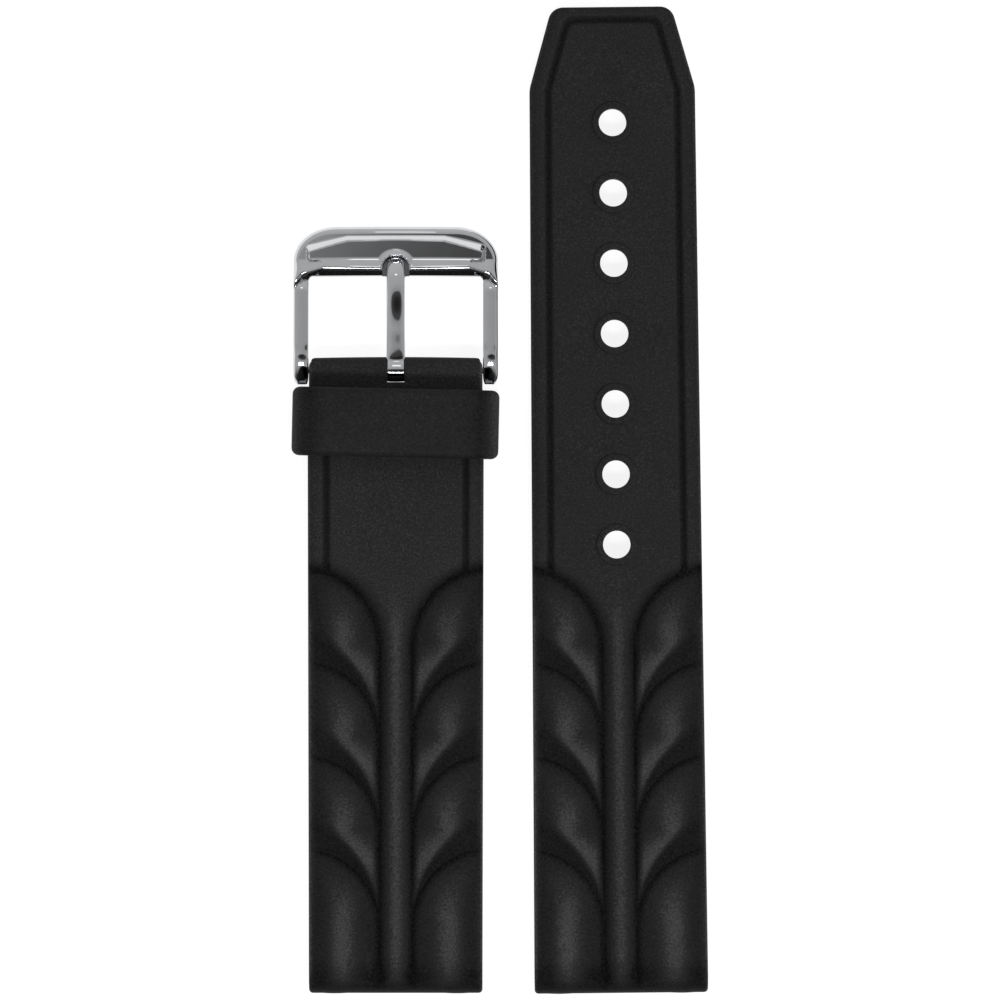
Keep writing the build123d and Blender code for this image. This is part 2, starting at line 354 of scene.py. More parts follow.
def placed_piece(
    name: str, drawn: bmesh.types.BMesh, place: Matrix, material: bpy.types.Material,
    sharp_degrees: float,
) -> bpy.types.Object:
    """Turns a mesh drawn in millimetres into an object at the origin, with its place in its mesh.

    Args:
        name: The piece's name.
        drawn: The mesh, which is freed.
        place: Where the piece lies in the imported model's frame, in millimetres.
        material: Its finish.
        sharp_degrees: The angle above which an edge is drawn sharp.

    Returns:
        The new object.
    """
    drawn.transform(Matrix.Scale(METRES_PER_MM, 4) @ place)
    bmesh.ops.recalc_face_normals(drawn, faces=drawn.faces[:])
    mesh = made_mesh(name, drawn)
    mesh.materials.append(material)
    mesh.polygons.foreach_set("use_smooth", [True] * len(mesh.polygons))
    mesh.set_sharp_from_angle(angle=math.radians(sharp_degrees))
    return add_object(name, mesh)


def dress(piece: bpy.types.Object, body: Body, slot: Slot, *nodes: str) -> bpy.types.Object:
    """Lets a piece ride on a body and stand for its CAD nodes.

    Args:
        piece: The new piece.
        body: The body that it rides on.
        slot: Its material slot in the record; not used.
        nodes: The CAD nodes that it replaces.

    Returns:
        The piece.
    """
    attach(piece, body.value)
    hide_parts(*nodes)
    LOG.info("%s: %d faces, rides on %s", piece.name, len(piece.data.polygons), body.value)
    return piece


def close_ends(drawn: bmesh.types.BMesh) -> None:
    """Fills every open loop of edges."""
    open_edges = [edge for edge in drawn.edges if edge.is_boundary]
    bmesh.ops.holes_fill(drawn, edges=open_edges)


def round_edges(
    drawn: bmesh.types.BMesh, edges: list[bmesh.types.BMEdge], radius: float, segments: int
) -> None:
    """Rounds edges of a mesh.

    Args:
        drawn: The mesh.
        edges: The edges to round.
        radius: Their radius in millimetres.
        segments: How many strips the rounding has.
    """
    bmesh.ops.bevel(
        drawn, geom=edges, offset=radius, offset_type="OFFSET", segments=segments,
        profile=0.5, affect="EDGES", material=-1, clamp_overlap=True,
    )


def across_cylinder(radius: float, length: float, at: Vector) -> bmesh.types.BMesh:
    """A cylinder that lies along X.

    Args:
        radius: Its radius in millimetres.
        length: Its length in millimetres.
        at: Its middle.

    Returns:
        The cylinder as a mesh in millimetres.
    """
    drawn = bmesh.new()
    bmesh.ops.create_cone(
        drawn, cap_ends=True, segments=BORE_SIDES, radius1=radius, radius2=radius, depth=length,
        matrix=Matrix.Translation(at) @ Matrix.Rotation(RIGHT_ANGLE, 4, "Y"),
    )
    return drawn


def cut(drawn: bmesh.types.BMesh, cutters: list[bmesh.types.BMesh]) -> bmesh.types.BMesh:
    """Cuts solids out of a mesh.

    Args:
        drawn: The mesh to cut, which is freed.
        cutters: The solids to take away, which are freed. They don't touch one another.

    Returns:
        What is left, as a new mesh.
    """
    joined = bmesh.new()
    for cutter in cutters:
        scratch = made_mesh("cutter", cutter)
        joined.from_mesh(scratch)
        bpy.data.meshes.remove(scratch)
    bmesh.ops.recalc_face_normals(joined, faces=joined.faces[:])
    body = add_object("cut_body", made_mesh("cut_body", drawn))
    tool = add_object("cut_tool", made_mesh("cut_tool", joined))
    modifier = body.modifiers.new("Bores", "BOOLEAN")
    modifier.operation = "DIFFERENCE"
    modifier.solver = "EXACT"
    modifier.object = tool
    graph = bpy.context.evaluated_depsgraph_get()
    left = bmesh.new()
    left.from_mesh(body.evaluated_get(graph).to_mesh())
    for made in (body, tool):
        mesh = made.data
        bpy.data.objects.remove(made)
        bpy.data.meshes.remove(mesh)
    return left


def pressed_tube(rings: list[list[Vector]]) -> bmesh.types.BMesh:
    """Rolls a flat grid into a tube through rings of points.

    Args:
        rings: The rings, from one end to the other, with the same number of points in each.

    Returns:
        The mesh in millimetres, closed along its seam and wherever its points meet.
    """
    weld = 0.0008
    sliver = 0.0005
    last, around = len(rings) - 1, len(rings[0])
    drawn = bmesh.new()
    bmesh.ops.create_grid(drawn, x_segments=last, y_segments=around, size=1.0)
    for vertex in drawn.verts:
        ring = round((vertex.co.x + 1.0) / 2.0 * last)
        point = round((vertex.co.y + 1.0) / 2.0 * around) % around
        vertex.co = rings[ring][point]
    bmesh.ops.remove_doubles(drawn, verts=drawn.verts[:], dist=weld)
    bmesh.ops.dissolve_degenerate(drawn, edges=drawn.edges[:], dist=sliver)
    return drawn


@dataclass(frozen=True)
class Station:
    """One crosswise row of a half: where it meets the side edge, and its share of a leaf line."""

    along: float
    shear: float = 0.0


@dataclass
class WheatEar:
    """The relief of four pairs of leaves, each a hollow-edged pillow with a ridge, beside a rib."""

    rows: int = 4
    first: float = 46.9
    pitch: float = 10.75
    line_radius: float = 9.1
    rib_half: float = 1.84
    depth: float = 0.6
    steepest: float = 2.2
    edge_fade: float = 1.0
    edge_level: float = -0.3
    lip_height: float = 0.2
    lip_width: float = 1.0
    upper_slope: float = 0.12
    ridge_height: float = 0.72
    ridge_start: float = 0.42
    ridge_full: float = 8.5
    full_width: float = 6.4
    valley_slope: float = 3.0
    valley_share: float = 0.4
    valley_soft_share: float = 0.15
    side_reach: float = 3.4
    side_drop: float = 0.34
    end_start: float = 4.0
    end_reach: float = 6.0
    end_drop: float = 0.3
    softness: float = 0.22
    # The painted light of the ear: highlights on the ridges and the rib's crest, shade on the
    # flanks, in the valleys and in the creases, and a glint along each line.
    ridge_band: float = 0.2
    ridge_painted_highlight: float = 0.52
    rib_band: float = 0.75
    rib_painted_highlight: float = 0.42
    flank_painted_shade: float = -0.55
    valley_painted_shade: float = -0.85
    line_glint: float = 0.5
    line_glint_half: float = 0.03
    lug_step: float = 0.5
    line_step: float = 0.2
    line_reach: float = 1.2
    share_step: float = 0.08
    row_steps: tuple[float, ...] = (
        0.12, 0.25, 0.45, 0.7, 1.0, 1.3, 1.6, 1.85, 2.05, 2.3, 2.6, 3.0, 3.5, 4.1, 4.8, 5.5,
        6.2, 6.9, 7.6, 8.3, 8.9, 9.4, 9.8, 10.1, 10.35, 10.55, 10.68,
    )

    @property
    def centre(self) -> float:
        """How far from the rib's middle the leaf lines' centres lie."""
        return self.rib_half + self.line_radius

    def line_shift(self, across: float) -> float:
        """How far down from the edge a leaf line has run, at a distance from the middle."""
        reach = max(self.centre - max(across, self.steepest), 0.0)
        return self.line_radius - math.sqrt(self.line_radius**2 - reach**2)

    def outside(self, across: float, down: float, line: int) -> float:
        """Distance from a leaf line and the rib groove that it runs into.

        Args:
            across: Distance from the middle of the strap.
            down: Distance below the start of the first line.
            line: The line's number, from 0 at the top.

        Returns:
            The distance, positive on the upper and inner side of the line.
        """
        below = down - line * self.pitch
        if below >= self.line_radius:
            return self.rib_half - across
        return math.hypot(self.centre - across, self.line_radius - below) - self.line_radius

    def height(self, across: float, along: float, edge_gap: float) -> tuple[float, float]:
        """Height of the relief against the plain face, and its painted light and shade.

        Args:
            across: Distance from the middle of the strap.
            along: Distance from the lug bore's axis.
            edge_gap: Distance from the side edge.

        Returns:
            The height in millimetres, and the painted light, from -1 for painted shade in a hollow
            to 1 for a painted highlight on a ridge.
        """
        down = self.first - along
        gap = self.outside(across, down, 0)
        if gap >= 0.0:
            fall = max(0.0, 1.0 - gap / self.rib_half) ** 2
            # Painted highlight along the rib's crest, with painted shade down into its grooves.
            crest = self.rib_painted_highlight * math.exp(-((across / self.rib_band) ** 2))
            crest *= smooth_step(down / self.line_radius)
            return -self.depth * fall, crest - fall
        leaf = 0
        while leaf + 1 < self.rows and self.outside(across, down, leaf + 1) < 0.0:
            leaf += 1
        relief, painted_light = self.leaf(across, down, leaf, edge_gap)
        share = smooth_step(edge_gap / self.edge_fade)
        if leaf == 0 and down < self.pitch / 2:
            share = 1.0
        return self.edge_level + (relief - self.edge_level) * share, painted_light * share

    def leaf(
        self, across: float, down: float, leaf: int, edge_gap: float
    ) -> tuple[float, float]:
        """One leaf, which rises from its upper line to a ridge and falls to the next line.

        Args:
            across: Distance from the middle of the strap.
            down: Distance below the start of the first line.
            leaf: The leaf's number, from 0 at the top.
            edge_gap: Distance from the side edge.

        Returns:
            The height in millimetres, and the painted light, from -1 for painted shade in a hollow
            to 1 for a painted highlight on a ridge.
        """
        upper = -self.outside(across, down, leaf)
        below = down - leaf * self.pitch
        lip = 1.0 - (1.0 - min(upper / self.lip_width, 1.0)) ** 2
        rise = self.lip_height * lip + self.upper_slope * upper
        growth = self.ridge_start + (1.0 - self.ridge_start) * min(1.0, below / self.ridge_full)
        top = self.ridge_height * growth
        side = self.side_drop * max(0.0, 1.0 - edge_gap / self.side_reach) ** 2
        valley = 0.0
        if leaf + 1 < self.rows:
            lower = self.outside(across, down, leaf + 1)
            width = upper + lower
            top *= min(1.0, width / self.full_width)
            fall = self.valley_slope * top * lower / width
            valley = smooth_step((self.valley_share - lower / width) / self.valley_soft_share)
        else:
            left = self.first - down - self.end_start + self.end_reach
            past = max(0.0, 1.0 - left / self.end_reach)
            fall = top + self.end_drop * (1.0 - past**2)
        far = smooth_min(fall, top - side, self.softness)
        relief = smooth_min(rise, far, self.softness)
        # Painted highlight along the leaf's ridge, painted shade on its flanks and, darker, in the
        # valley before the next line.
        ridge = math.exp(-(((rise - far) / self.ridge_band) ** 2))
        ridge *= smooth_step(below / self.ridge_full)
        # Painted shade in the crease under the upper line, with a thin painted glint along the line
        # itself.
        crease = smooth_step(1.0 - upper / self.lip_width)
        if upper < self.line_glint_half:
            crease -= self.line_glint
        face = self.ridge_painted_highlight * ridge + self.flank_painted_shade * (1.0 - ridge)
        face += (self.valley_painted_shade - face) * valley
        return -self.depth + relief, face * (1.0 - min(crease, 1.0)) - crease

    def stations(self, field_start: float) -> list[Station]:
        """The rows of the ear, denser at the leaf lines.

        Args:
            field_start: Distance from the lug bore's axis to the start of the plain field.

        Returns:
            The rows, from the lug end up to the field.
        """
        last_line = self.first - (self.rows - 1) * self.pitch
        below = in_steps(0.0, last_line - self.line_reach, self.lug_step)
        below += in_steps(last_line - self.line_reach, last_line, self.line_step)
        stations = [Station(along, along / last_line) for along in below]
        for line in range(self.rows - 2, -1, -1):
            start = self.first - (line + 1) * self.pitch
            stations += [Station(start + step, 1.0) for step in (*self.row_steps, self.pitch)]
        for share in in_steps(0.0, 1.0, self.share_step):
            along = self.first + (field_start - self.first) * share
            stations.append(Station(along, 1.0 - share))
        return stations


@dataclass
class StrapHalf:
    """What both halves share: the lug end, the ear, the raised border and the rounded rims."""

    ear: WheatEar = field(default_factory=WheatEar)
    lug_width: float = 20.0
    lug_radius: float = 2.15
    bore_radius: float = 0.9
    rim_radius: float = 0.45
    rim_steps: int = 6
    border: float = 2.1
    channel_depth: float = 0.4
    channel_half: float = 0.6
    # Painted light: shade in the channel, a highlight along the side edge, shade over the lug end,
    # and a darker field.
    channel_shade: float = 0.6
    bead_reach: float = 1.3
    bead_drop: float = 0.2
    edge_band: float = 0.4
    edge_painted_highlight: float = 0.85
    lug_shade: float = 0.6
    lug_shade_start: float = 2.5
    lug_shade_reach: float = 4.0
    field_darkening: float = 0.0
    field_darkening_reach: float = 2.0
    crown: float = 0.12
    crown_reach: float = 8.0
    outer_zone: tuple[float, ...] = (
        3.2, 2.95, 2.8, 2.65, 2.5, 2.35, 2.2, 2.05, 1.9, 1.75, 1.6, 1.45, 1.2, 0.95, 0.7,
    )
    middle_zone: tuple[float, ...] = (
        0.2, 0.4, 0.6, 0.8, 1.0, 1.2, 1.4, 1.6, 1.68, 1.84, 1.96, 2.12, 2.26, 2.33, 2.38, 2.5,
        2.8, 3.2, 3.6,
    )
    stretched_steps: int = 10
    barrel_step: float = 7.5
    weld: float = 0.0005
    sharp_degrees: float = 38.0

    def rim_gaps(self) -> list[float]:
        """Distances from an edge at which its rounded rim has rows, outwards to the edge."""
        turns = [RIGHT_ANGLE / self.rim_steps * number for number in range(self.rim_steps + 1)]
        return [self.rim_radius * (1.0 - math.sin(turn)) for turn in turns]

    def edge_gaps(self) -> list[float]:
        """Distances from the side edge of the columns that keep their place against it."""
        return list(self.outer_zone) + self.rim_gaps()

    def column_count(self) -> int:
        """Columns on one side of the middle one."""
        return len(self.middle_zone) + self.stretched_steps - 1 + len(self.edge_gaps())

    def barrel_turns(self) -> list[float]:
        """Angles of the rows round a round end, in radians, from 0 to a right angle."""
        count = round(90 / self.barrel_step)
        return [math.radians(number * self.barrel_step) for number in range(count + 1)]

    def barrel(self) -> list[Station]:
        """The rows round the lug end."""
        return [Station(-self.lug_radius * math.cos(turn)) for turn in self.barrel_turns()]

    def across(self, column: int, half_width: float) -> tuple[float, float]:
        """Where a column lies.

        Args:
            column: Its number, from 0 in the middle.
            half_width: Half the strap's width there.

        Returns:
            Its distance from the middle and its distance from the edge.
        """
        gaps = self.edge_gaps()
        first_outer = len(self.middle_zone) + self.stretched_steps
        if column >= first_outer:
            gap = gaps[column - first_outer]
            return half_width - gap, gap
        if column <= len(self.middle_zone):
            place = self.middle_zone[column - 1] if column else 0.0
            return place, half_width - place
        inner = self.middle_zone[-1]
        outer = half_width - gaps[0]
        share = (column - len(self.middle_zone)) / self.stretched_steps
        place = inner + (outer - inner) * share
        return place, half_width - place

    def lug_tangent(self, far_height: float, side: int) -> tuple[float, float]:
        """Where the face that runs to the field meets the round lug end.

        Args:
            far_height: The face's height where the field starts.
            side: 1 for the top face and -1 for the underside.

        Returns:
            The point's distance along the strap and its height.
        """
        rise = far_height - self.lug_radius
        reach = math.hypot(self.ear.first, rise)
        angle = math.atan2(rise, self.ear.first) + side * math.acos(self.lug_radius / reach)
        return self.lug_radius * math.cos(angle), self.lug_radius * (1.0 + math.sin(angle))

    def lug_face(
        self, along: float, side: int, far_height: float
    ) -> tuple[Vector, Vector] | None:
        """A point of the round lug end or of the face between it and the field.

        Args:
            along: Distance from the lug bore's axis.
            side: 1 for the top face and -1 for the underside.
            far_height: The face's height where the field starts.

        Returns:
            The point and the outward normal, or None past the start of the field.
        """
        tangent_along, tangent_height = self.lug_tangent(far_height, side)
        if along <= tangent_along:
            lift = math.sqrt(max(self.lug_radius**2 - along**2, 0.0))
            normal = Vector((0.0, along, side * lift)) / self.lug_radius
            return Vector((0.0, along, self.lug_radius + side * lift)), normal
        if along <= self.ear.first:
            slope = (far_height - tangent_height) / (self.ear.first - tangent_along)
            height = tangent_height + slope * (along - tangent_along)
            normal = Vector((0.0, -slope, 1.0)).normalized() * side
            return Vector((0.0, along, height)), normal
        return None

    def run_out(self, along: float) -> float:
        """How far the round lug end lies below the face that the leaves are cut from.

        Args:
            along: Distance from the lug bore's axis.

        Returns:
            The fall in millimetres.
        """
        if along >= 0.0:
            return 0.0
        return self.lug_radius - math.sqrt(max(self.lug_radius**2 - along**2, 0.0))

    def end_gap(self, along: float) -> float:
        """Distance from the half's far end."""
        raise NotImplementedError

    def half_width(self, along: float) -> float:
        """Half the strap's width at a distance from the lug bore's axis."""
        raise NotImplementedError

    def face(self, along: float, side: int) -> tuple[Vector, Vector]:
        """The plain point and outward normal of the top face, or of the underside."""
        raise NotImplementedError

    def rows(self) -> list[Station]:
        """The crosswise rows from the lug end to the far end."""
        raise NotImplementedError

    def is_open(self, across: float, along: float) -> bool:
        """Whether the strap has an opening through it at a point."""
        raise NotImplementedError

    def detail(self, across: float, along: float, edge_gap: float) -> float:
        """Height of what only this half has on its top face."""
        raise NotImplementedError

    def plan(self, across: float, along: float) -> tuple[float, float]:
        """Where a grid point really lies, where rounded corners or holes pull it."""
        raise NotImplementedError

    def rim_drop(self, gap: float) -> float:
        """How far the rounded rim falls.

        Args:
            gap: Distance from the edge.

        Returns:
            The fall in millimetres.
        """
        if gap >= self.rim_radius:
            return 0.0
        left = self.rim_radius**2 - (self.rim_radius - gap) ** 2
        return self.rim_radius - math.sqrt(max(left, 0.0))

    def channel(self, edge_gap: float) -> float:
        """The soft channel inside the raised border, and the border's own round fall.

        Args:
            edge_gap: Distance from the side edge.

        Returns:
            The height in millimetres, 0 or less.
        """
        off = abs(edge_gap - self.border) / self.channel_half
        if edge_gap < self.bead_reach:
            return -self.bead_drop * (1.0 - edge_gap / self.bead_reach) ** 2
        if off >= 1.0:
            return 0.0
        return -self.channel_depth * (1.0 + math.cos(math.pi * off)) / 2.0

    def edge_shade(self, along: float, edge_gap: float) -> float:
        """The painted highlight along the side edge, and the painted shade over the lug end.

        Args:
            along: Distance from the lug bore's axis.
            edge_gap: Distance from the side edge.

        Returns:
            The change in painted light.
        """
        # A painted highlight along the side edge, less painted shade over the lug end.
        edge_highlight = self.edge_painted_highlight * max(0.0, 1.0 - edge_gap / self.edge_band)
        lug = smooth_step((self.lug_shade_start - along) / self.lug_shade_reach)
        return edge_highlight - self.lug_shade * lug

    def relief(self, across: float, along: float, edge_gap: float) -> tuple[float, float]:
        """Height of the moulded relief over the plain top face, and its painted light and shade.

        Args:
            across: Distance from the middle of the strap.
            along: Distance from the lug bore's axis.
            edge_gap: Distance from the side edge.

        Returns:
            The height in millimetres, and the painted light from -1 for painted shade to 1 for a
            painted highlight.
        """
        leaves, painted_light = self.ear.height(across, along, edge_gap)
        on_field = self.ear.outside(across, self.ear.first - along, 0)
        if on_field > 0.0:
            middle = 1.0 - min(across / self.half_width(along), 1.0) ** 2
            into_field = along - self.ear.first + self.crown_reach / 2.0
            swell = self.crown * middle * smooth_step(into_field / self.crown_reach)
            detail = self.detail(across, along, edge_gap)
            leaves = max(leaves + detail + swell, -self.ear.depth)
            # Painted shade in the channel, and the field painted a little darker where
            # field_darkening is below 0.
            painted_light += self.channel_shade * min(0.0, detail / self.channel_depth)
            painted_light += self.field_darkening * smooth_step(on_field / self.field_darkening_reach)
        # The painted light fades out round the lug end, and the painted edge highlight and the
        # lug's painted shade are added.
        fade = 1.0 - smooth_step(-along / self.lug_radius)
        painted_light = painted_light * fade + self.edge_shade(along, edge_gap)
        return min(leaves + self.run_out(along), max(leaves, 0.0)), painted_light

    def grid(self) -> bmesh.types.BMesh:
        """Presses a flat grid into the half's shape.

        Returns:
            The closed mesh in millimetres.
        """
        rows = self.rows()
        side = self.column_count()
        drawn = bmesh.new()
        # Each point carries its painted light and shade as a vertex attribute.
        painted_light = drawn.verts.layers.float.new(PAINTED_LIGHT)
        bmesh.ops.create_grid(drawn, x_segments=2 * side, y_segments=len(rows) - 1, size=1.0)
        for vertex in drawn.verts:
            column = round(vertex.co.x * side)
            row = round((vertex.co.y + 1.0) / 2.0 * (len(rows) - 1))
            vertex.co = (column, row, 0.0)
        openings = [face for face in drawn.faces if self.covers_opening(face, rows)]
        bmesh.ops.delete(drawn, geom=openings, context="FACES")
        raised = bmesh.ops.extrude_face_region(drawn, geom=drawn.faces[:])
        for vertex in raised["geom"]:
            if isinstance(vertex, bmesh.types.BMVert):
                vertex.co.z = 1.0
        placed = {}
        for vertex in drawn.verts:
            column, row, layer = round(vertex.co.x), round(vertex.co.y), round(vertex.co.z)
            key = (abs(column), row, layer)
            if key not in placed:
                placed[key] = self.point(*key, rows)
            found, vertex[painted_light] = placed[key]
            vertex.co = (math.copysign(found.x, column) if column else 0.0, found.y, found.z)
        bmesh.ops.remove_doubles(drawn, verts=drawn.verts[:], dist=self.weld)
        return drawn

    def grid_place(self, column: int, station: Station) -> tuple[float, float, float]:
        """Where a column and a row cross on the flat plan.

        Args:
            column: The column's number, from 0 in the middle.
            station: The row.

        Returns:
            Distance from the middle, distance along, and distance from the side edge.
        """
        start, _ = self.across(column, self.half_width(station.along))
        along = station.along - station.shear * self.ear.line_shift(start)
        across, gap = self.across(column, self.half_width(along))
        return across, along, gap

    def covers_opening(self, cell: bmesh.types.BMFace, rows: list[Station]) -> bool:
        """Finds whether a grid cell lies in an opening.

        Args:
            cell: The cell, with its column and row as its place.
            rows: All rows.

        Returns:
            True where the strap is open.
        """
        middle = cell.calc_center_median()
        column, row = abs(middle.x), middle.y
        near = self.grid_place(math.floor(column), rows[math.floor(row)])
        far = self.grid_place(math.ceil(column), rows[math.ceil(row)])
        return self.is_open((near[0] + far[0]) / 2.0, (near[1] + far[1]) / 2.0)

    def point(
        self, column: int, row: int, layer: int, rows: list[Station]
    ) -> tuple[Vector, float]:
        """The place of one grid point on the finished half.

        Args:
            column: The column's number, from 0 in the middle.
            row: The row's number, from 0 at the lug end.
            layer: 1 on the top face and 0 on the underside.
            rows: All rows.

        Returns:
            The point, on the right-hand side of the strap, and its painted light from -1 for
            painted shade to 1 for a painted highlight.
        """
        across, along, gap = self.grid_place(column, rows[row])
        edge_gap = min(gap, self.end_gap(along))
        across, along = self.plan(across, along)
        base, normal = self.face(along, 1 if layer else -1)
        height = -self.rim_drop(edge_gap)
        painted_light = 0.0
        if layer:
            relief, painted_light = self.relief(across, along, gap)
            height += relief * smooth_step(edge_gap / self.rim_radius)
        moved = base + normal * height
        moved.x = across
        return moved, painted_light

    def cross_bore(self, radius: float, along: float, height: float) -> bmesh.types.BMesh:
        """A bore right across the half, at a distance along it and a height."""
        return across_cylinder(radius, 2.0 * self.lug_width, Vector((0.0, along, height)))


@dataclass
class BuckleHalf(StrapHalf):
    """The short half: ear, plain bordered field, and the slotted nose round the spring bar."""

    bar_distance: float = 69.7
    strap_lift: float = 1.55
    nose_radius: float = 1.4
    neck_width: float = 20.3
    nose_width: float = 20.0
    keeper_middle: float = 63.6
    taper_length: float = 4.0
    taper_softness: float = 0.06
    corner_radius: float = 0.75
    slot_half: float = 1.12
    slot_start: float = 68.31
    field_start: float = 50.0
    channel_end: float = 62.5
    bar_bore_radius: float = 0.78
    neck_reach: float = 2.0
    field_step: float = 0.7
    neck_step: float = 0.35
    slot_step: float = 0.3
    middle_zone: tuple[float, ...] = (
        0.25, 0.5, 0.75, 1.0, 1.25, 1.4, 1.55, 1.68, 1.84, 1.96, 2.12, 2.3, 2.5, 2.8, 3.2, 3.6,
    )

    @property
    def bar_height(self) -> float:
        """Height of the spring bar's axis, in the middle of the nose."""
        return self.strap_lift + self.nose_radius

    def end_gap(self, along: float) -> float:
        """The nose is round by itself, so its end has no rim."""
        return self.lug_width

    def half_width(self, along: float) -> float:
        """Half the width, which grows slightly to the keeper, then shrinks to the nose.

        Args:
            along: Distance from the lug bore's axis.

        Returns:
            Half the width in millimetres.
        """
        widening = (self.neck_width - self.lug_width) / self.keeper_middle
        narrowing = (self.neck_width - self.nose_width) / self.taper_length
        full = self.lug_width + widening * max(along, 0.0)
        nose = self.neck_width - narrowing * (along - self.keeper_middle)
        blended = smooth_min(full, nose, self.taper_softness)
        return max(blended, self.nose_width) / 2.0

    def face(self, along: float, side: int) -> tuple[Vector, Vector]:
        """The plain face: lug end, slope, level field, then the round nose.

        Args:
            along: Distance from the lug bore's axis.
            side: 1 for the top face and -1 for the underside.

        Returns:
            The point and the outward normal.
        """
        level = self.strap_lift + (2.0 * self.nose_radius if side > 0 else 0.0)
        found = self.lug_face(along, side, level)
        if found:
            return found
        if along <= self.bar_distance:
            return Vector((0.0, along, level)), Vector((0.0, 0.0, float(side)))
        past = min(along - self.bar_distance, self.nose_radius)
        lift = side * math.sqrt(max(self.nose_radius**2 - past**2, 0.0))
        place = Vector((0.0, self.bar_distance + past, self.bar_height + lift))
        return place, Vector((0.0, past, lift)) / self.nose_radius

    def rows(self) -> list[Station]:
        """The crosswise rows, denser towards the nose.

        Returns:
            The rows, from the lug end to the end of the nose.
        """
        neck = self.keeper_middle - self.neck_reach
        rows = in_steps(self.field_start, neck, self.field_step)
        rows += in_steps(neck, self.slot_start, self.neck_step)
        rows += in_steps(self.slot_start, self.bar_distance, self.slot_step)
        turns = self.barrel_turns()[1:]
        rows += [self.bar_distance + self.nose_radius * math.sin(turn) for turn in turns]
        past_ear = [Station(along) for along in rows]
        return self.barrel() + self.ear.stations(self.field_start) + past_ear

    def is_open(self, across: float, along: float) -> bool:
        """The slot in the nose that the tang's eye sits in."""
        return across < self.slot_half and along > self.slot_start

    def detail(self, across: float, along: float, edge_gap: float) -> float:
        """The channel, which ends under the keeper."""
        return self.channel(edge_gap) * smooth_step(self.channel_end - along)

    def plan(self, across: float, along: float) -> tuple[float, float]:
        """Rounds the nose's two corners in plan.

        Args:
            across: Distance from the middle of the strap.
            along: Distance from the lug bore's axis.

        Returns:
            The two distances, moved where a corner is round.
        """
        end = self.bar_distance + self.nose_radius
        reach_x = across - (self.nose_width / 2.0 - self.corner_radius)
        reach_y = along - (end - self.corner_radius)
        if min(reach_x, reach_y) <= 0.0:
            return across, along
        pull = 1.0 - max(reach_x, reach_y) / math.hypot(reach_x, reach_y)
        return across - reach_x * pull, along - reach_y * pull

    def build(self, finish: bpy.types.Material) -> bpy.types.Object:
        """Makes the short half and dresses it.

        Args:
            finish: The rubber.

        Returns:
            The piece.
        """
        lug = self.cross_bore(self.bore_radius, 0.0, self.lug_radius)
        bar = self.cross_bore(self.bar_bore_radius, self.bar_distance, self.bar_height)
        drawn = cut(self.grid(), [lug, bar])
        place = Matrix.Translation(BUCKLE_HALF_ORIGIN)
        piece = placed_piece("BuckleHalfRubber", drawn, place, finish, self.sharp_degrees)
        return dress(piece, Body.BUCKLE_HALF, Slot.RUBBER, "buckle_strap")


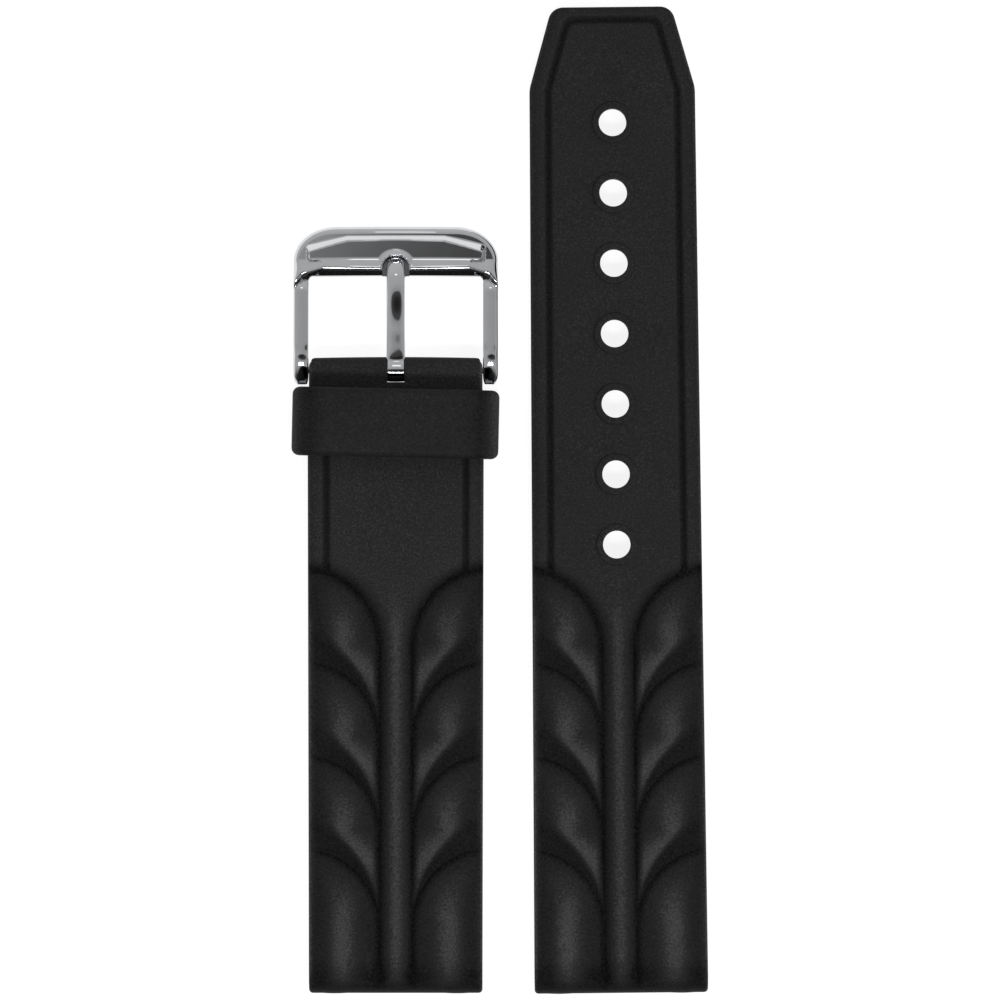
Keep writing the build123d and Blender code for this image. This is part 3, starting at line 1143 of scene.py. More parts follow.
@dataclass
class HoleHalf(StrapHalf):
    """The long half: ear, bordered field with seven ringed holes, and the pointed tip."""

    tip_distance: float = 111.65
    field_thickness: float = 3.3
    tip_thickness: float = 2.3
    shoulder_width: float = 19.1
    shoulder_distance: float = 102.25
    shoulder_softness: float = 0.15
    tip_width: float = 13.8
    corner_radius: float = 1.75
    tip_border: float = 1.5
    border_softness: float = 1.0
    # The long half's plain field is painted a little darker.
    field_darkening: float = -0.12
    hole_count: int = 7
    hole_radius: float = 1.6
    hole_pitch: float = 8.12
    hole_setback: float = 13.35
    ring_radius: float = 2.35
    ring_height: float = 0.25
    ring_edge: float = 0.08
    ring_inner_share: float = 0.7
    round_reach: float = 2.5
    square_reach: float = 3.6
    field_start: float = 47.08
    shoulder_overlap: float = 0.6
    shoulder_step: float = 0.15
    tip_step: float = 0.5

    @property
    def holes(self) -> list[float]:
        """Distances from the lug bore's axis to the holes, from the tip down."""
        first = self.tip_distance - self.hole_setback
        return [first - number * self.hole_pitch for number in range(self.hole_count)]

    @property
    def taper(self) -> float:
        """How fast half the width falls past the shoulder."""
        length = self.tip_distance - self.shoulder_distance
        return (self.shoulder_width - self.tip_width) / 2.0 / length

    def end_gap(self, along: float) -> float:
        """Distance from the tip."""
        return self.tip_distance - along

    def half_width(self, along: float) -> float:
        """Half the width, which falls slowly to the shoulder, then quickly to the tip.

        Args:
            along: Distance from the lug bore's axis.

        Returns:
            Half the width in millimetres.
        """
        slow = (self.lug_width - self.shoulder_width) / self.shoulder_distance
        side = (self.lug_width - slow * max(along, 0.0)) / 2.0
        tip = self.shoulder_width / 2.0 - self.taper * (along - self.shoulder_distance)
        return smooth_min(side, tip, self.shoulder_softness)

    def face(self, along: float, side: int) -> tuple[Vector, Vector]:
        """The plain face: lug end, slope, then the field that thins to the tip.

        Args:
            along: Distance from the lug bore's axis.
            side: 1 for the top face and -1 for the underside.

        Returns:
            The point and the outward normal.
        """
        if side < 0:
            if along < 0.0:
                lift = math.sqrt(max(self.lug_radius**2 - along**2, 0.0))
                normal = Vector((0.0, along, -lift)) / self.lug_radius
                return Vector((0.0, along, self.lug_radius - lift)), normal
            return Vector((0.0, along, 0.0)), Vector((0.0, 0.0, -1.0))
        found = self.lug_face(along, side, self.field_thickness)
        if found:
            return found
        thinning = self.tip_thickness - self.field_thickness
        slope = thinning / (self.tip_distance - self.ear.first)
        height = self.field_thickness + slope * (along - self.ear.first)
        return Vector((0.0, along, height)), Vector((0.0, -slope, 1.0)).normalized()

    def rows(self) -> list[Station]:
        """The crosswise rows, placed alike round every hole.

        Returns:
            The rows, from the lug end to the tip.
        """
        steps = [step for step in self.middle_zone if step <= self.square_reach]
        steps.append(self.hole_pitch / 2.0)
        around = [-step for step in steps] + [0.0] + steps
        low = self.field_start + CLOSE
        high = self.holes[0] + self.square_reach + CLOSE
        crossed = [hole + step for hole in self.holes for step in around]
        rows = sorted({round(along, 6) for along in crossed if low < along < high})
        rows += in_steps(
            rows[-1], self.shoulder_distance + self.shoulder_overlap, self.shoulder_step
        )
        rows += in_steps(rows[-1], self.tip_distance - self.outer_zone[0], self.tip_step)
        rows += [self.tip_distance - gap for gap in self.edge_gaps()[1:]]
        past_ear = [Station(along) for along in rows]
        return self.barrel() + self.ear.stations(self.field_start) + past_ear

    def nearest_hole(self, along: float) -> float:
        """How far above the nearest hole a point lies."""
        return min((along - hole for hole in self.holes), key=abs)

    def is_open(self, across: float, along: float) -> bool:
        """The seven holes, which are square on the grid."""
        return max(across, abs(self.nearest_hole(along))) < self.hole_radius

    def detail(self, across: float, along: float, edge_gap: float) -> float:
        """The border's channel, which follows the tip, and the flat rings round the holes.

        Args:
            across: Distance from the middle of the strap.
            along: Distance from the lug bore's axis.
            edge_gap: Distance from the side edge.

        Returns:
            The height in millimetres.
        """
        tip_gap = self.end_gap(along) + self.border - self.tip_border
        side_gap = edge_gap
        if along > self.shoulder_distance:
            side_gap *= math.cos(math.atan(self.taper))
        channel = self.channel(smooth_min(side_gap, tip_gap, self.border_softness))
        radius = math.hypot(across, self.nearest_hole(along))
        inner = smooth_step((radius - self.hole_radius) / self.ring_edge + 0.5)
        outer = smooth_step((self.ring_radius - radius) / self.ring_edge + 0.5)
        level = self.ring_inner_share + (1.0 - self.ring_inner_share) * inner
        return channel + self.ring_height * outer * level

    def plan(self, across: float, along: float) -> tuple[float, float]:
        """Rounds the holes and the tip's two corners.

        Args:
            across: Distance from the middle of the strap.
            along: Distance from the lug bore's axis.

        Returns:
            The two distances, moved where a hole or a corner is round.
        """
        rise = self.nearest_hole(along)
        square = max(across, abs(rise))
        if 0.0 < square < self.square_reach:
            scale = square / math.hypot(across, rise)
            blend = (square - self.round_reach) / (self.square_reach - self.round_reach)
            scale += (1.0 - scale) * smooth_step(blend)
            return across * scale, along + rise * (scale - 1.0)
        return self.round_corner(across, along)

    def round_corner(self, across: float, along: float) -> tuple[float, float]:
        """Rounds a corner of the tip.

        Args:
            across: Distance from the middle of the strap.
            along: Distance from the lug bore's axis.

        Returns:
            The two distances, moved where the corner is round.
        """
        tilt = math.atan(self.taper)
        reach_side = self.corner_radius - (self.half_width(along) - across) * math.cos(tilt)
        reach_end = self.corner_radius - self.end_gap(along)
        far, near = max(reach_side, reach_end), min(reach_side, reach_end)
        if near <= 0.0 or near < far * math.sin(tilt):
            return across, along
        centre_y = self.tip_distance - self.corner_radius
        centre_x = self.half_width(centre_y) - self.corner_radius / math.cos(tilt)
        off = Vector((across - centre_x, along - centre_y))
        off *= far / off.length
        return centre_x + off.x, centre_y + off.y

    def build(self, finish: bpy.types.Material) -> bpy.types.Object:
        """Makes the long half and dresses it.

        Args:
            finish: The rubber.

        Returns:
            The piece.
        """
        drawn = cut(self.grid(), [self.cross_bore(self.bore_radius, 0.0, self.lug_radius)])
        shift = Matrix.Translation(BUCKLE_HALF_ORIGIN + Vector((HALF_SPACING, 0.0, 0.0)))
        place = shift @ Matrix.Rotation(HOLE_HALF_TURN, 4, "Z")
        piece = placed_piece("HoleHalfRubber", drawn, place, finish, self.sharp_degrees)
        return dress(piece, Body.HOLE_HALF, Slot.RUBBER, "hole_strap")


@dataclass
class Keeper:
    """The loose loop round the short half, with rounded sides and rims."""

    middle: float = 63.6
    length: float = 7.9
    wall: float = 1.4
    inner_width: float = 21.0
    inner_height: float = 5.65
    outer_radius: float = 1.9
    inner_radius: float = 0.6
    outer_rim: float = 0.85
    inner_rim: float = 0.3
    side_segments: int = 8
    rim_segments: int = 6
    rim_margin: float = 0.1
    end_facing: float = 0.9
    # Painted light by distance from the side edge: a highlight on the edge, shade down the round
    # side.
    side_painted_light: tuple[tuple[float, float], ...] = (
        (0.0, 0.5), (0.5, 0.25), (1.4, -0.4), (2.1, -0.65), (3.2, -0.35), (4.4, -0.2),
    )
    sharp_degrees: float = 38.0

    def rounded_block(
        self, width: float, length: float, height: float, radius: float
    ) -> bmesh.types.BMesh:
        """Makes a block whose long edges are rounded.

        Args:
            width: Its width.
            length: Its length along the strap.
            height: Its height.
            radius: The radius of its long edges.

        Returns:
            The block in millimetres, round the origin.
        """
        drawn = bmesh.new()
        size = Matrix.Diagonal((width, length, height, 1.0))
        bmesh.ops.create_cube(drawn, size=1.0, matrix=size)
        long_edges = []
        for edge in drawn.edges:
            start, end = (vertex.co.y for vertex in edge.verts)
            if abs(start - end) > length / 2.0:
                long_edges.append(edge)
        round_edges(drawn, long_edges, radius, self.side_segments)
        return drawn

    def rims(self, drawn: bmesh.types.BMesh, inner: bool) -> list[bmesh.types.BMEdge]:
        """Finds the edges round the loop's two open ends.

        Args:
            drawn: The loop.
            inner: Whether the edges round the opening are wanted, rather than the outer ones.

        Returns:
            The edges.
        """
        reach_x = self.inner_width / 2.0 + self.rim_margin
        reach_z = self.inner_height / 2.0 + self.rim_margin
        found = []
        for edge in drawn.edges:
            flat = [abs(face.normal.y) > self.end_facing for face in edge.link_faces]
            middle = (edge.verts[0].co + edge.verts[1].co) / 2.0
            within = abs(middle.x) < reach_x and abs(middle.z) < reach_z
            if any(flat) and not all(flat) and within == inner:
                found.append(edge)
        return found

    def shade(self, drawn: bmesh.types.BMesh, half_width: float) -> None:
        """Paints a highlight along the keeper's outer side edges, shade down its round sides, and
        light shade over the rest.

        Args:
            drawn: The mesh, in millimetres.
            half_width: Half of the outer width.
        """
        for gap, _ in self.side_painted_light:
            for side in (-1.0, 1.0):
                bmesh.ops.bisect_plane(
                    drawn, geom=drawn.verts[:] + drawn.edges[:] + drawn.faces[:], dist=CLOSE,
                    plane_co=(side * (half_width - gap), 0.0, 0.0), plane_no=(1.0, 0.0, 0.0),
                )
        layer = drawn.verts.layers.float.new(PAINTED_LIGHT)
        for vertex in drawn.verts:
            gap = half_width - abs(vertex.co.x)
            painted_light = self.side_painted_light[-1][1]
            for (near, low), (far, high) in zip(self.side_painted_light, self.side_painted_light[1:]):
                if near <= gap + 0.001 < far:
                    painted_light = low + (high - low) * (gap - near) / (far - near)
            vertex[layer] = painted_light

    def build(self, finish: bpy.types.Material) -> bpy.types.Object:
        """Makes the keeper and dresses it.

        Args:
            finish: The rubber.

        Returns:
            The piece.
        """
        width = self.inner_width + 2.0 * self.wall
        height = self.inner_height + 2.0 * self.wall
        outer = self.rounded_block(width, self.length, height, self.outer_radius)
        opening = self.rounded_block(
            self.inner_width, self.length * 2.0, self.inner_height, self.inner_radius
        )
        drawn = cut(outer, [opening])
        for inner, radius in ((False, self.outer_rim), (True, self.inner_rim)):
            round_edges(drawn, self.rims(drawn, inner), radius, self.rim_segments)
        self.shade(drawn, width / 2.0)
        middle = BUCKLE_HALF_ORIGIN + Vector((0.0, self.middle, height / 2.0))
        place = Matrix.Translation(middle) @ Matrix.Rotation(KEEPER_TURN, 4, "Z")
        piece = placed_piece("KeeperRubber", drawn, place, finish, self.sharp_degrees)
        return dress(piece, Body.LOOP, Slot.RUBBER, "keeper")


@dataclass(frozen=True)
class Section:
    """One section line of the buckle frame, from its outer edge to its inner edge."""

    outer: Vector
    inner: Vector

    def mirrored(self) -> "Section":
        """The same line on the other side of the middle."""
        flip = Vector((-1.0, 1.0, 1.0))
        return Section(self.outer * flip, self.inner * flip)


@dataclass
class BuckleFrame:
    """The polished frame: round-ended legs and a thick arched crossbar.

    The crossbar has a flat plate, a beaded inner edge and a collared notch.
    """

    half_width: float = 11.8
    window_half: float = 10.05
    window_reach: float = 10.72
    window_corner: float = 0.5
    reach: float = 16.6
    corner_across: float = 4.9
    corner_along: float = 3.9
    end_reach: float = 1.65
    corner_start: float = -0.5
    end_corner: float = 0.7
    end_thick: float = 0.12
    leg_bend: float = 1.6
    leg_root_top: float = 1.4
    leg_far_top: float = 0.95
    leg_foot: float = 0.55
    leg_crown: float = 0.12
    end_powers: tuple[float, float] = (1.5, 0.7)
    end_crown: float = 0.3
    end_crown_start: float = 3.0
    end_crown_blend: float = 1.5
    corner_dip: float = 0.25
    corner_dip_start: float = 9.2
    corner_dip_blend: float = 1.3
    bar_top: float = 1.0
    bottom: float = 1.2
    arch: float = 0.7
    bar_rim: float = 0.95
    leg_rim: float = 0.35
    rim_start: float = 9.5
    rim_blend: float = 3.0
    rim_share: float = 0.6
    inner_round: float = 0.14
    bottom_round: float = 0.25
    round_share: float = 0.3
    undercut: float = 0.05
    bar_undercut: float = 0.12
    plate_rise: float = 0.42
    plate_flatness: float = 0.6
    plate_front: float = 15.43
    plate_flat: float = 5.6
    plate_end: float = 10.3
    front_fall: float = 1.05
    front_slope: float = 0.8
    end_slope: float = 2.2
    crease: float = 0.025
    bead_fall: float = 0.35
    bead_margin: float = 0.1
    bead_blend: float = 0.4
    wall_top: float = 11.2
    wall_rise: float = 0.4
    wall_slope: float = 1.28
    step_at: tuple[float, float] = (10.96, 10.67)
    step_facing: tuple[float, float] = (0.739, 0.674)
    step_inset: float = 0.15
    step_softness: float = 0.4
    bead_width: float = 1.48
    bead_slope: float = 0.27
    bead_softness: float = 0.3
    collar_width: float = 0.6
    collar_slope: float = 0.5
    lip_rise: float = 0.5
    lip_slope: float = 2.6
    notch_radius: float = 1.55
    notch_reach: float = 13.1
    notch_floor: float = 0.9
    notch_open: float = 3.0
    notch_segments: int = 64
    tip_hole_radius: float = 0.45
    tip_hole_depth: float = 1.0
    bar_step: float = 0.14
    corner_step: float = 0.028
    corner_share: float = 0.8
    leg_step: float = 0.16
    end_step: float = 0.14
    end_bend: float = 45.0
    end_turns: tuple[int, ...] = (52, 59, 66, 73, 79, 84, 88, 90)
    round_steps: int = 8
    edge_turns: tuple[float, ...] = (0.0, 22.5, 45.0, 67.5, 90.0)
    bottom_shares: tuple[float, ...] = (0.35, 0.65)
    top_steps: tuple[int, ...] = (4, 8, 20, 10, 12)
    mark_start: float = 10.0
    mark_blend: float = 2.5
    mark_gap: float = 0.03
    weld: float = 0.0004
    sharp_degrees: float = 50.0

    def arch_rise(self, across: float) -> float:
        """How much the crossbar arches up at a distance from its middle."""
        return self.arch * (1.0 - min(abs(across) / self.half_width, 1.0) ** 2)

    def outer_along(self, across: float) -> float:
        """How far the outline reaches at a distance from the middle."""
        past = max(0.0, abs(across) - (self.half_width - self.corner_across)) / self.corner_across
        return self.reach - self.corner_along * (1.0 - math.sqrt(max(0.0, 1.0 - past * past)))

    def front(self, across: float) -> float:
        """Where the plate's front bevel starts, at a distance from the middle."""
        past = (abs(across) - self.plate_flat) / (self.plate_end - self.plate_flat)
        return self.plate_front - self.front_fall * min(1.0, max(0.0, past))

    def notch_gap(self, across: float, along: float) -> float:
        """Distance outside the notch's upright wall."""
        past = max(0.0, along - (self.notch_reach - self.notch_radius))
        return math.hypot(across, past) - self.notch_radius

    def bar(self, across: float, along: float) -> float:
        """Height of the crossbar's top: rim, raised plate, bead, collar and inner wall.

        Args:
            across: Distance from the middle.
            along: Distance from the spring bar's axis.

        Returns:
            The height in millimetres.
        """
        x = abs(across)
        base = self.bar_top + self.arch_rise(x)
        front = (self.front(x) - along) * self.front_slope
        step = (x - self.step_at[0]) * self.step_facing[0]
        step += (along - self.step_at[1]) * self.step_facing[1]
        inside = smooth_max(along - self.wall_top, step - self.step_inset, self.step_softness)
        on_bead = smooth_step((self.bead_width + self.bead_margin - inside) / self.bead_blend)
        end_slope = self.end_slope + (self.bead_fall - self.end_slope) * on_bead
        ends = (self.plate_end - x) * end_slope
        rise = self.plate_rise + self.plate_flatness * (self.arch - self.arch_rise(x))
        plate = smooth_min(rise, smooth_min(front, ends, self.crease), self.crease)
        notch = self.notch_gap(x, along)
        edge = self.bead_slope * (self.bead_width - inside)
        collar = self.collar_slope * (self.collar_width - notch)
        bead = smooth_max(edge, collar, self.crease)
        top = smooth_max(plate, 0.0, self.crease) + smooth_max(bead, 0.0, self.crease)
        wall = self.wall_rise + self.wall_slope * inside
        lip = self.plate_rise + self.lip_rise + self.lip_slope * (notch - self.inner_round)
        return base + smooth_min(smooth_min(top, wall, self.bead_softness), lip, self.crease)

    def leg(self, across: float, along: float) -> float:
        """Height of a leg's top, slightly domed, which falls to its round end.

        Args:
            across: Distance from the middle.
            along: Distance from the spring bar's axis.

        Returns:
            The height in millimetres.
        """
        middle = (self.half_width + self.window_half) / 2.0
        near_end = smooth_step((self.end_crown_start - along) / self.end_crown_blend)
        crown = self.leg_crown + (self.end_crown - self.leg_crown) * near_end
        dome = crown * ((abs(across) - middle) / (self.half_width - middle)) ** 2
        if along < self.leg_bend:
            past = min(1.0, (self.leg_bend - along) / (self.leg_bend + self.end_reach))
            inner, outer = self.end_powers
            fall = max(0.0, 1.0 - past**inner) ** outer
            full = self.leg_root_top + self.leg_foot
            return full * fall - self.leg_foot - dome * (1.0 - past)
        slope = (self.leg_far_top - self.leg_root_top) / (self.window_reach - self.leg_bend)
        dipped = smooth_step((along - self.corner_dip_start) / self.corner_dip_blend)
        dip = self.corner_dip * dipped
        return self.leg_root_top + slope * (along - self.leg_bend) - dome - dip

    def top(self, across: float, along: float) -> float:
        """Height of the top face anywhere on the frame.

        Args:
            across: Distance from the middle.
            along: Distance from the spring bar's axis.

        Returns:
            The height in millimetres.
        """
        if along < self.leg_bend:
            return self.leg(across, along)
        return smooth_max(self.bar(across, along), self.leg(across, along), self.crease)

    def under(self, across: float, along: float) -> float:
        """Height of the underside.

        Args:
            across: Distance from the middle.
            along: Distance from the spring bar's axis.

        Returns:
            The height in millimetres.
        """
        if along < 0.0:
            return -math.sqrt(max(0.0, self.end_reach**2 - along**2))
        finish = -self.bottom + self.arch_rise(across)
        share = min(1.0, along / self.window_reach)
        return -self.end_reach + (finish + self.end_reach) * share

    def bar_sections(self) -> list[Section]:
        """The section lines across the crossbar, right of its middle.

        Returns:
            The lines.
        """
        places = in_steps(0.0, self.window_half - self.window_corner, self.bar_step)
        return [
            Section(Vector((x, self.outer_along(x), 0.0)), Vector((x, self.window_reach, 0.0)))
            for x in places
        ]

    def corner_sections(self) -> list[Section]:
        """The section lines round the right corner, from the crossbar to the leg.

        Returns:
            The lines.
        """
        found = []
        inner_x = self.window_half - self.window_corner
        inner_y = self.window_reach - self.window_corner
        start_x = self.half_width - self.corner_across
        low = self.reach - self.corner_along
        start = math.asin((inner_x - start_x) / self.corner_across)
        for share in in_steps(0.0, 1.0, self.corner_step):
            turn = math.radians(90.0 * share)
            done = min(1.0, share / self.corner_share)
            round_turn = start + (RIGHT_ANGLE - start) * done
            outer_x = start_x + self.corner_across * math.sin(round_turn)
            outer_y = low + self.corner_along * math.cos(round_turn)
            if share > self.corner_share:
                past = (share - self.corner_share) / (1.0 - self.corner_share)
                outer_y = low + (inner_y - low) * past
            around = Vector((math.sin(turn), math.cos(turn), 0.0)) * self.window_corner
            inner = Vector((inner_x, inner_y, 0.0)) + around
            found.append(Section(Vector((outer_x, outer_y, 0.0)), inner))
        return found

    def leg_sections(self) -> list[Section]:
        """The section lines along the right leg, to its round end.

        Returns:
            The lines.
        """
        turned = self.end_reach * math.sin(math.radians(self.end_bend))
        places = in_steps(self.window_reach - self.window_corner, self.leg_bend, self.leg_step)
        places += in_steps(self.leg_bend, -turned, self.end_step)
        places += [-self.end_reach * math.sin(math.radians(angle)) for angle in self.end_turns]
        found = []
        for along in places:
            past = max(0.0, self.corner_start - along) / (self.corner_start + self.end_reach)
            drawn_in = 1.0 - math.sqrt(max(0.0, 1.0 - past * past))
            outer_x = self.half_width - self.end_corner * drawn_in
            inner_x = self.window_half + self.end_corner * drawn_in / 2.0
            found.append(Section(Vector((outer_x, along, 0.0)), Vector((inner_x, along, 0.0))))
        return found

    def sections(self) -> list[Section]:
        """The section lines round the whole frame.

        Returns:
            The lines, from the end of the left leg to the end of the right one.
        """
        half = self.bar_sections() + self.corner_sections() + self.leg_sections()
        middle = Section(Vector((0.0, self.reach, 0.0)), Vector((0.0, self.window_reach, 0.0)))
        return [section.mirrored() for section in reversed(half)] + [middle] + half

    def stops(self, section: Section, rim: float, length: float) -> list[float]:
        """Where the points on top lie, set so that the plate's edges fall on them.

        Args:
            section: The section line.
            rim: Where the rounded rim ends.
            length: The length of the section line.

        Returns:
            The distances from the outer edge, rising.
        """
        foot = section.outer.y - self.front(section.outer.x)
        back = section.outer.y - self.wall_top
        bar = (
            foot, foot + self.plate_rise / self.front_slope,
            back - self.bead_width, back - self.bead_softness,
        )
        share = smooth_step((section.outer.y - self.mark_start) / self.mark_blend)
        end = length - self.inner_round
        marks = [rim]
        for number, place in enumerate(bar, 1):
            even = rim + (end - rim) * number / len(self.top_steps)
            mark = max(marks[-1] + self.mark_gap, even + (place - even) * share)
            marks.append(min(mark, end - self.mark_gap * (len(self.top_steps) - number)))
        found = [rim]
        for start, finish, count in zip(marks, marks[1:] + [end], self.top_steps):
            near = min(self.crease, (finish - start) / 4.0)
            inner = finish - start - 2.0 * near
            found += [start + near + inner * step / count for step in range(count + 1)]
            found.append(finish)
        return found

    def ring(self, section: Section) -> list[Vector]:
        """The points round one section, from the outer edge over the top and back underneath.

        Args:
            section: The section line.

        Returns:
            The points in millimetres.
        """
        length = (section.inner - section.outer).length
        line = (section.inner - section.outer) / length
        on_bar = smooth_step((section.outer.y - self.rim_start) / self.rim_blend)
        rim = self.leg_rim + (self.bar_rim - self.leg_rim) * on_bar
        lean = self.undercut + self.bar_undercut * abs(line.y)
        turns = [math.radians(angle) for angle in self.edge_turns]
        points: list[Vector] = []

        def room(gap: float) -> tuple[Vector, float, float]:
            """A place on the section line, and the heights under and over it.

            Args:
                gap: Distance from the outer edge.

            Returns:
                The place, and the heights of the underside and the top.
            """
            place = section.outer + line * gap
            low = self.under(place.x, place.y)
            return place, low, max(self.top(place.x, place.y), low + self.end_thick)

        def add(place: Vector, height: float) -> None:
            """Adds a point over a place."""
            points.append(place + Vector((0.0, 0.0, height)))

        for number in range(self.round_steps):
            turn = math.radians(90.0 * number / self.round_steps)
            place, low, high = room(rim * (1.0 - math.cos(turn)))
            add(place, high - min(rim, (high - low) * self.rim_share) * (1.0 - math.sin(turn)))
        for gap in self.stops(section, rim, length):
            place, _, high = room(gap)
            add(place, high)
        for turn in turns[1:]:
            place, low, high = room(length - self.inner_round * (1.0 - math.sin(turn)))
            drop = min(self.inner_round, (high - low) * self.round_share)
            add(place, high - drop * (1.0 - math.cos(turn)))
        top = points[-1].z
        for turn in turns:
            place, low, high = room(length - self.bottom_round * (1.0 - math.cos(turn)))
            lift = min(self.bottom_round, (high - low) * self.round_share)
            height = low + lift * (1.0 - math.sin(turn))
            add(place - line * lean * max(0.0, top - height), height)
        for share in self.bottom_shares:
            place, low, _ = room(length * (1.0 - share))
            add(place, low)
        for turn in turns:
            place, low, high = room(self.bottom_round * (1.0 - math.sin(turn)))
            lift = min(self.bottom_round, (high - low) * self.round_share)
            add(place, low + lift * (1.0 - math.cos(turn)))
        return points

    def notch(self) -> bmesh.types.BMesh:
        """What is cut out for the tang's tip: an upright wall over a flat floor.

        Returns:
            The cutter in millimetres, long enough to open the notch towards the window.
        """
        drawn = bmesh.new()
        middle = self.notch_reach - self.notch_radius
        place = Matrix.Translation((0.0, middle, self.notch_floor))
        bmesh.ops.create_circle(
            drawn, cap_ends=True, segments=self.notch_segments, radius=self.notch_radius,
            matrix=place,
        )
        back = [vertex for vertex in drawn.verts if vertex.co.y < middle - 0.001]
        bmesh.ops.translate(drawn, verts=back, vec=(0.0, -self.notch_open, 0.0))
        raised = bmesh.ops.extrude_face_region(drawn, geom=drawn.faces[:])
        lifted = [item for item in raised["geom"] if isinstance(item, bmesh.types.BMVert)]
        bmesh.ops.translate(drawn, verts=lifted, vec=(0.0, 0.0, self.notch_open))
        bmesh.ops.recalc_face_normals(drawn, faces=drawn.faces[:])
        return drawn

    def build(self, finish: bpy.types.Material) -> bpy.types.Object:
        """Makes the frame and dresses it.

        Args:
            finish: The polished steel.

        Returns:
            The piece.
        """
        drawn = pressed_tube([self.ring(section) for section in self.sections()])
        close_ends(drawn)
        bmesh.ops.recalc_face_normals(drawn, faces=drawn.faces[:])
        depth = 2.0 * (self.window_half + self.tip_hole_depth)
        holes = across_cylinder(self.tip_hole_radius, depth, Vector((0.0, 0.0, 0.0)))
        drawn = cut(drawn, [holes, self.notch()])
        bmesh.ops.remove_doubles(drawn, verts=drawn.verts[:], dist=self.weld)
        close_ends(drawn)
        piece = placed_piece("BuckleFrameSteel", drawn, BUCKLE_PLACE, finish, self.sharp_degrees)
        return dress(piece, Body.FRAME, Slot.POLISHED, "buckle_frame")


@dataclass(frozen=True)
class TongueSection:
    """One section of the tang: inner and outer point, width share and height share of the sides."""

    inner: Vector
    outer: Vector
    width: float
    side: float


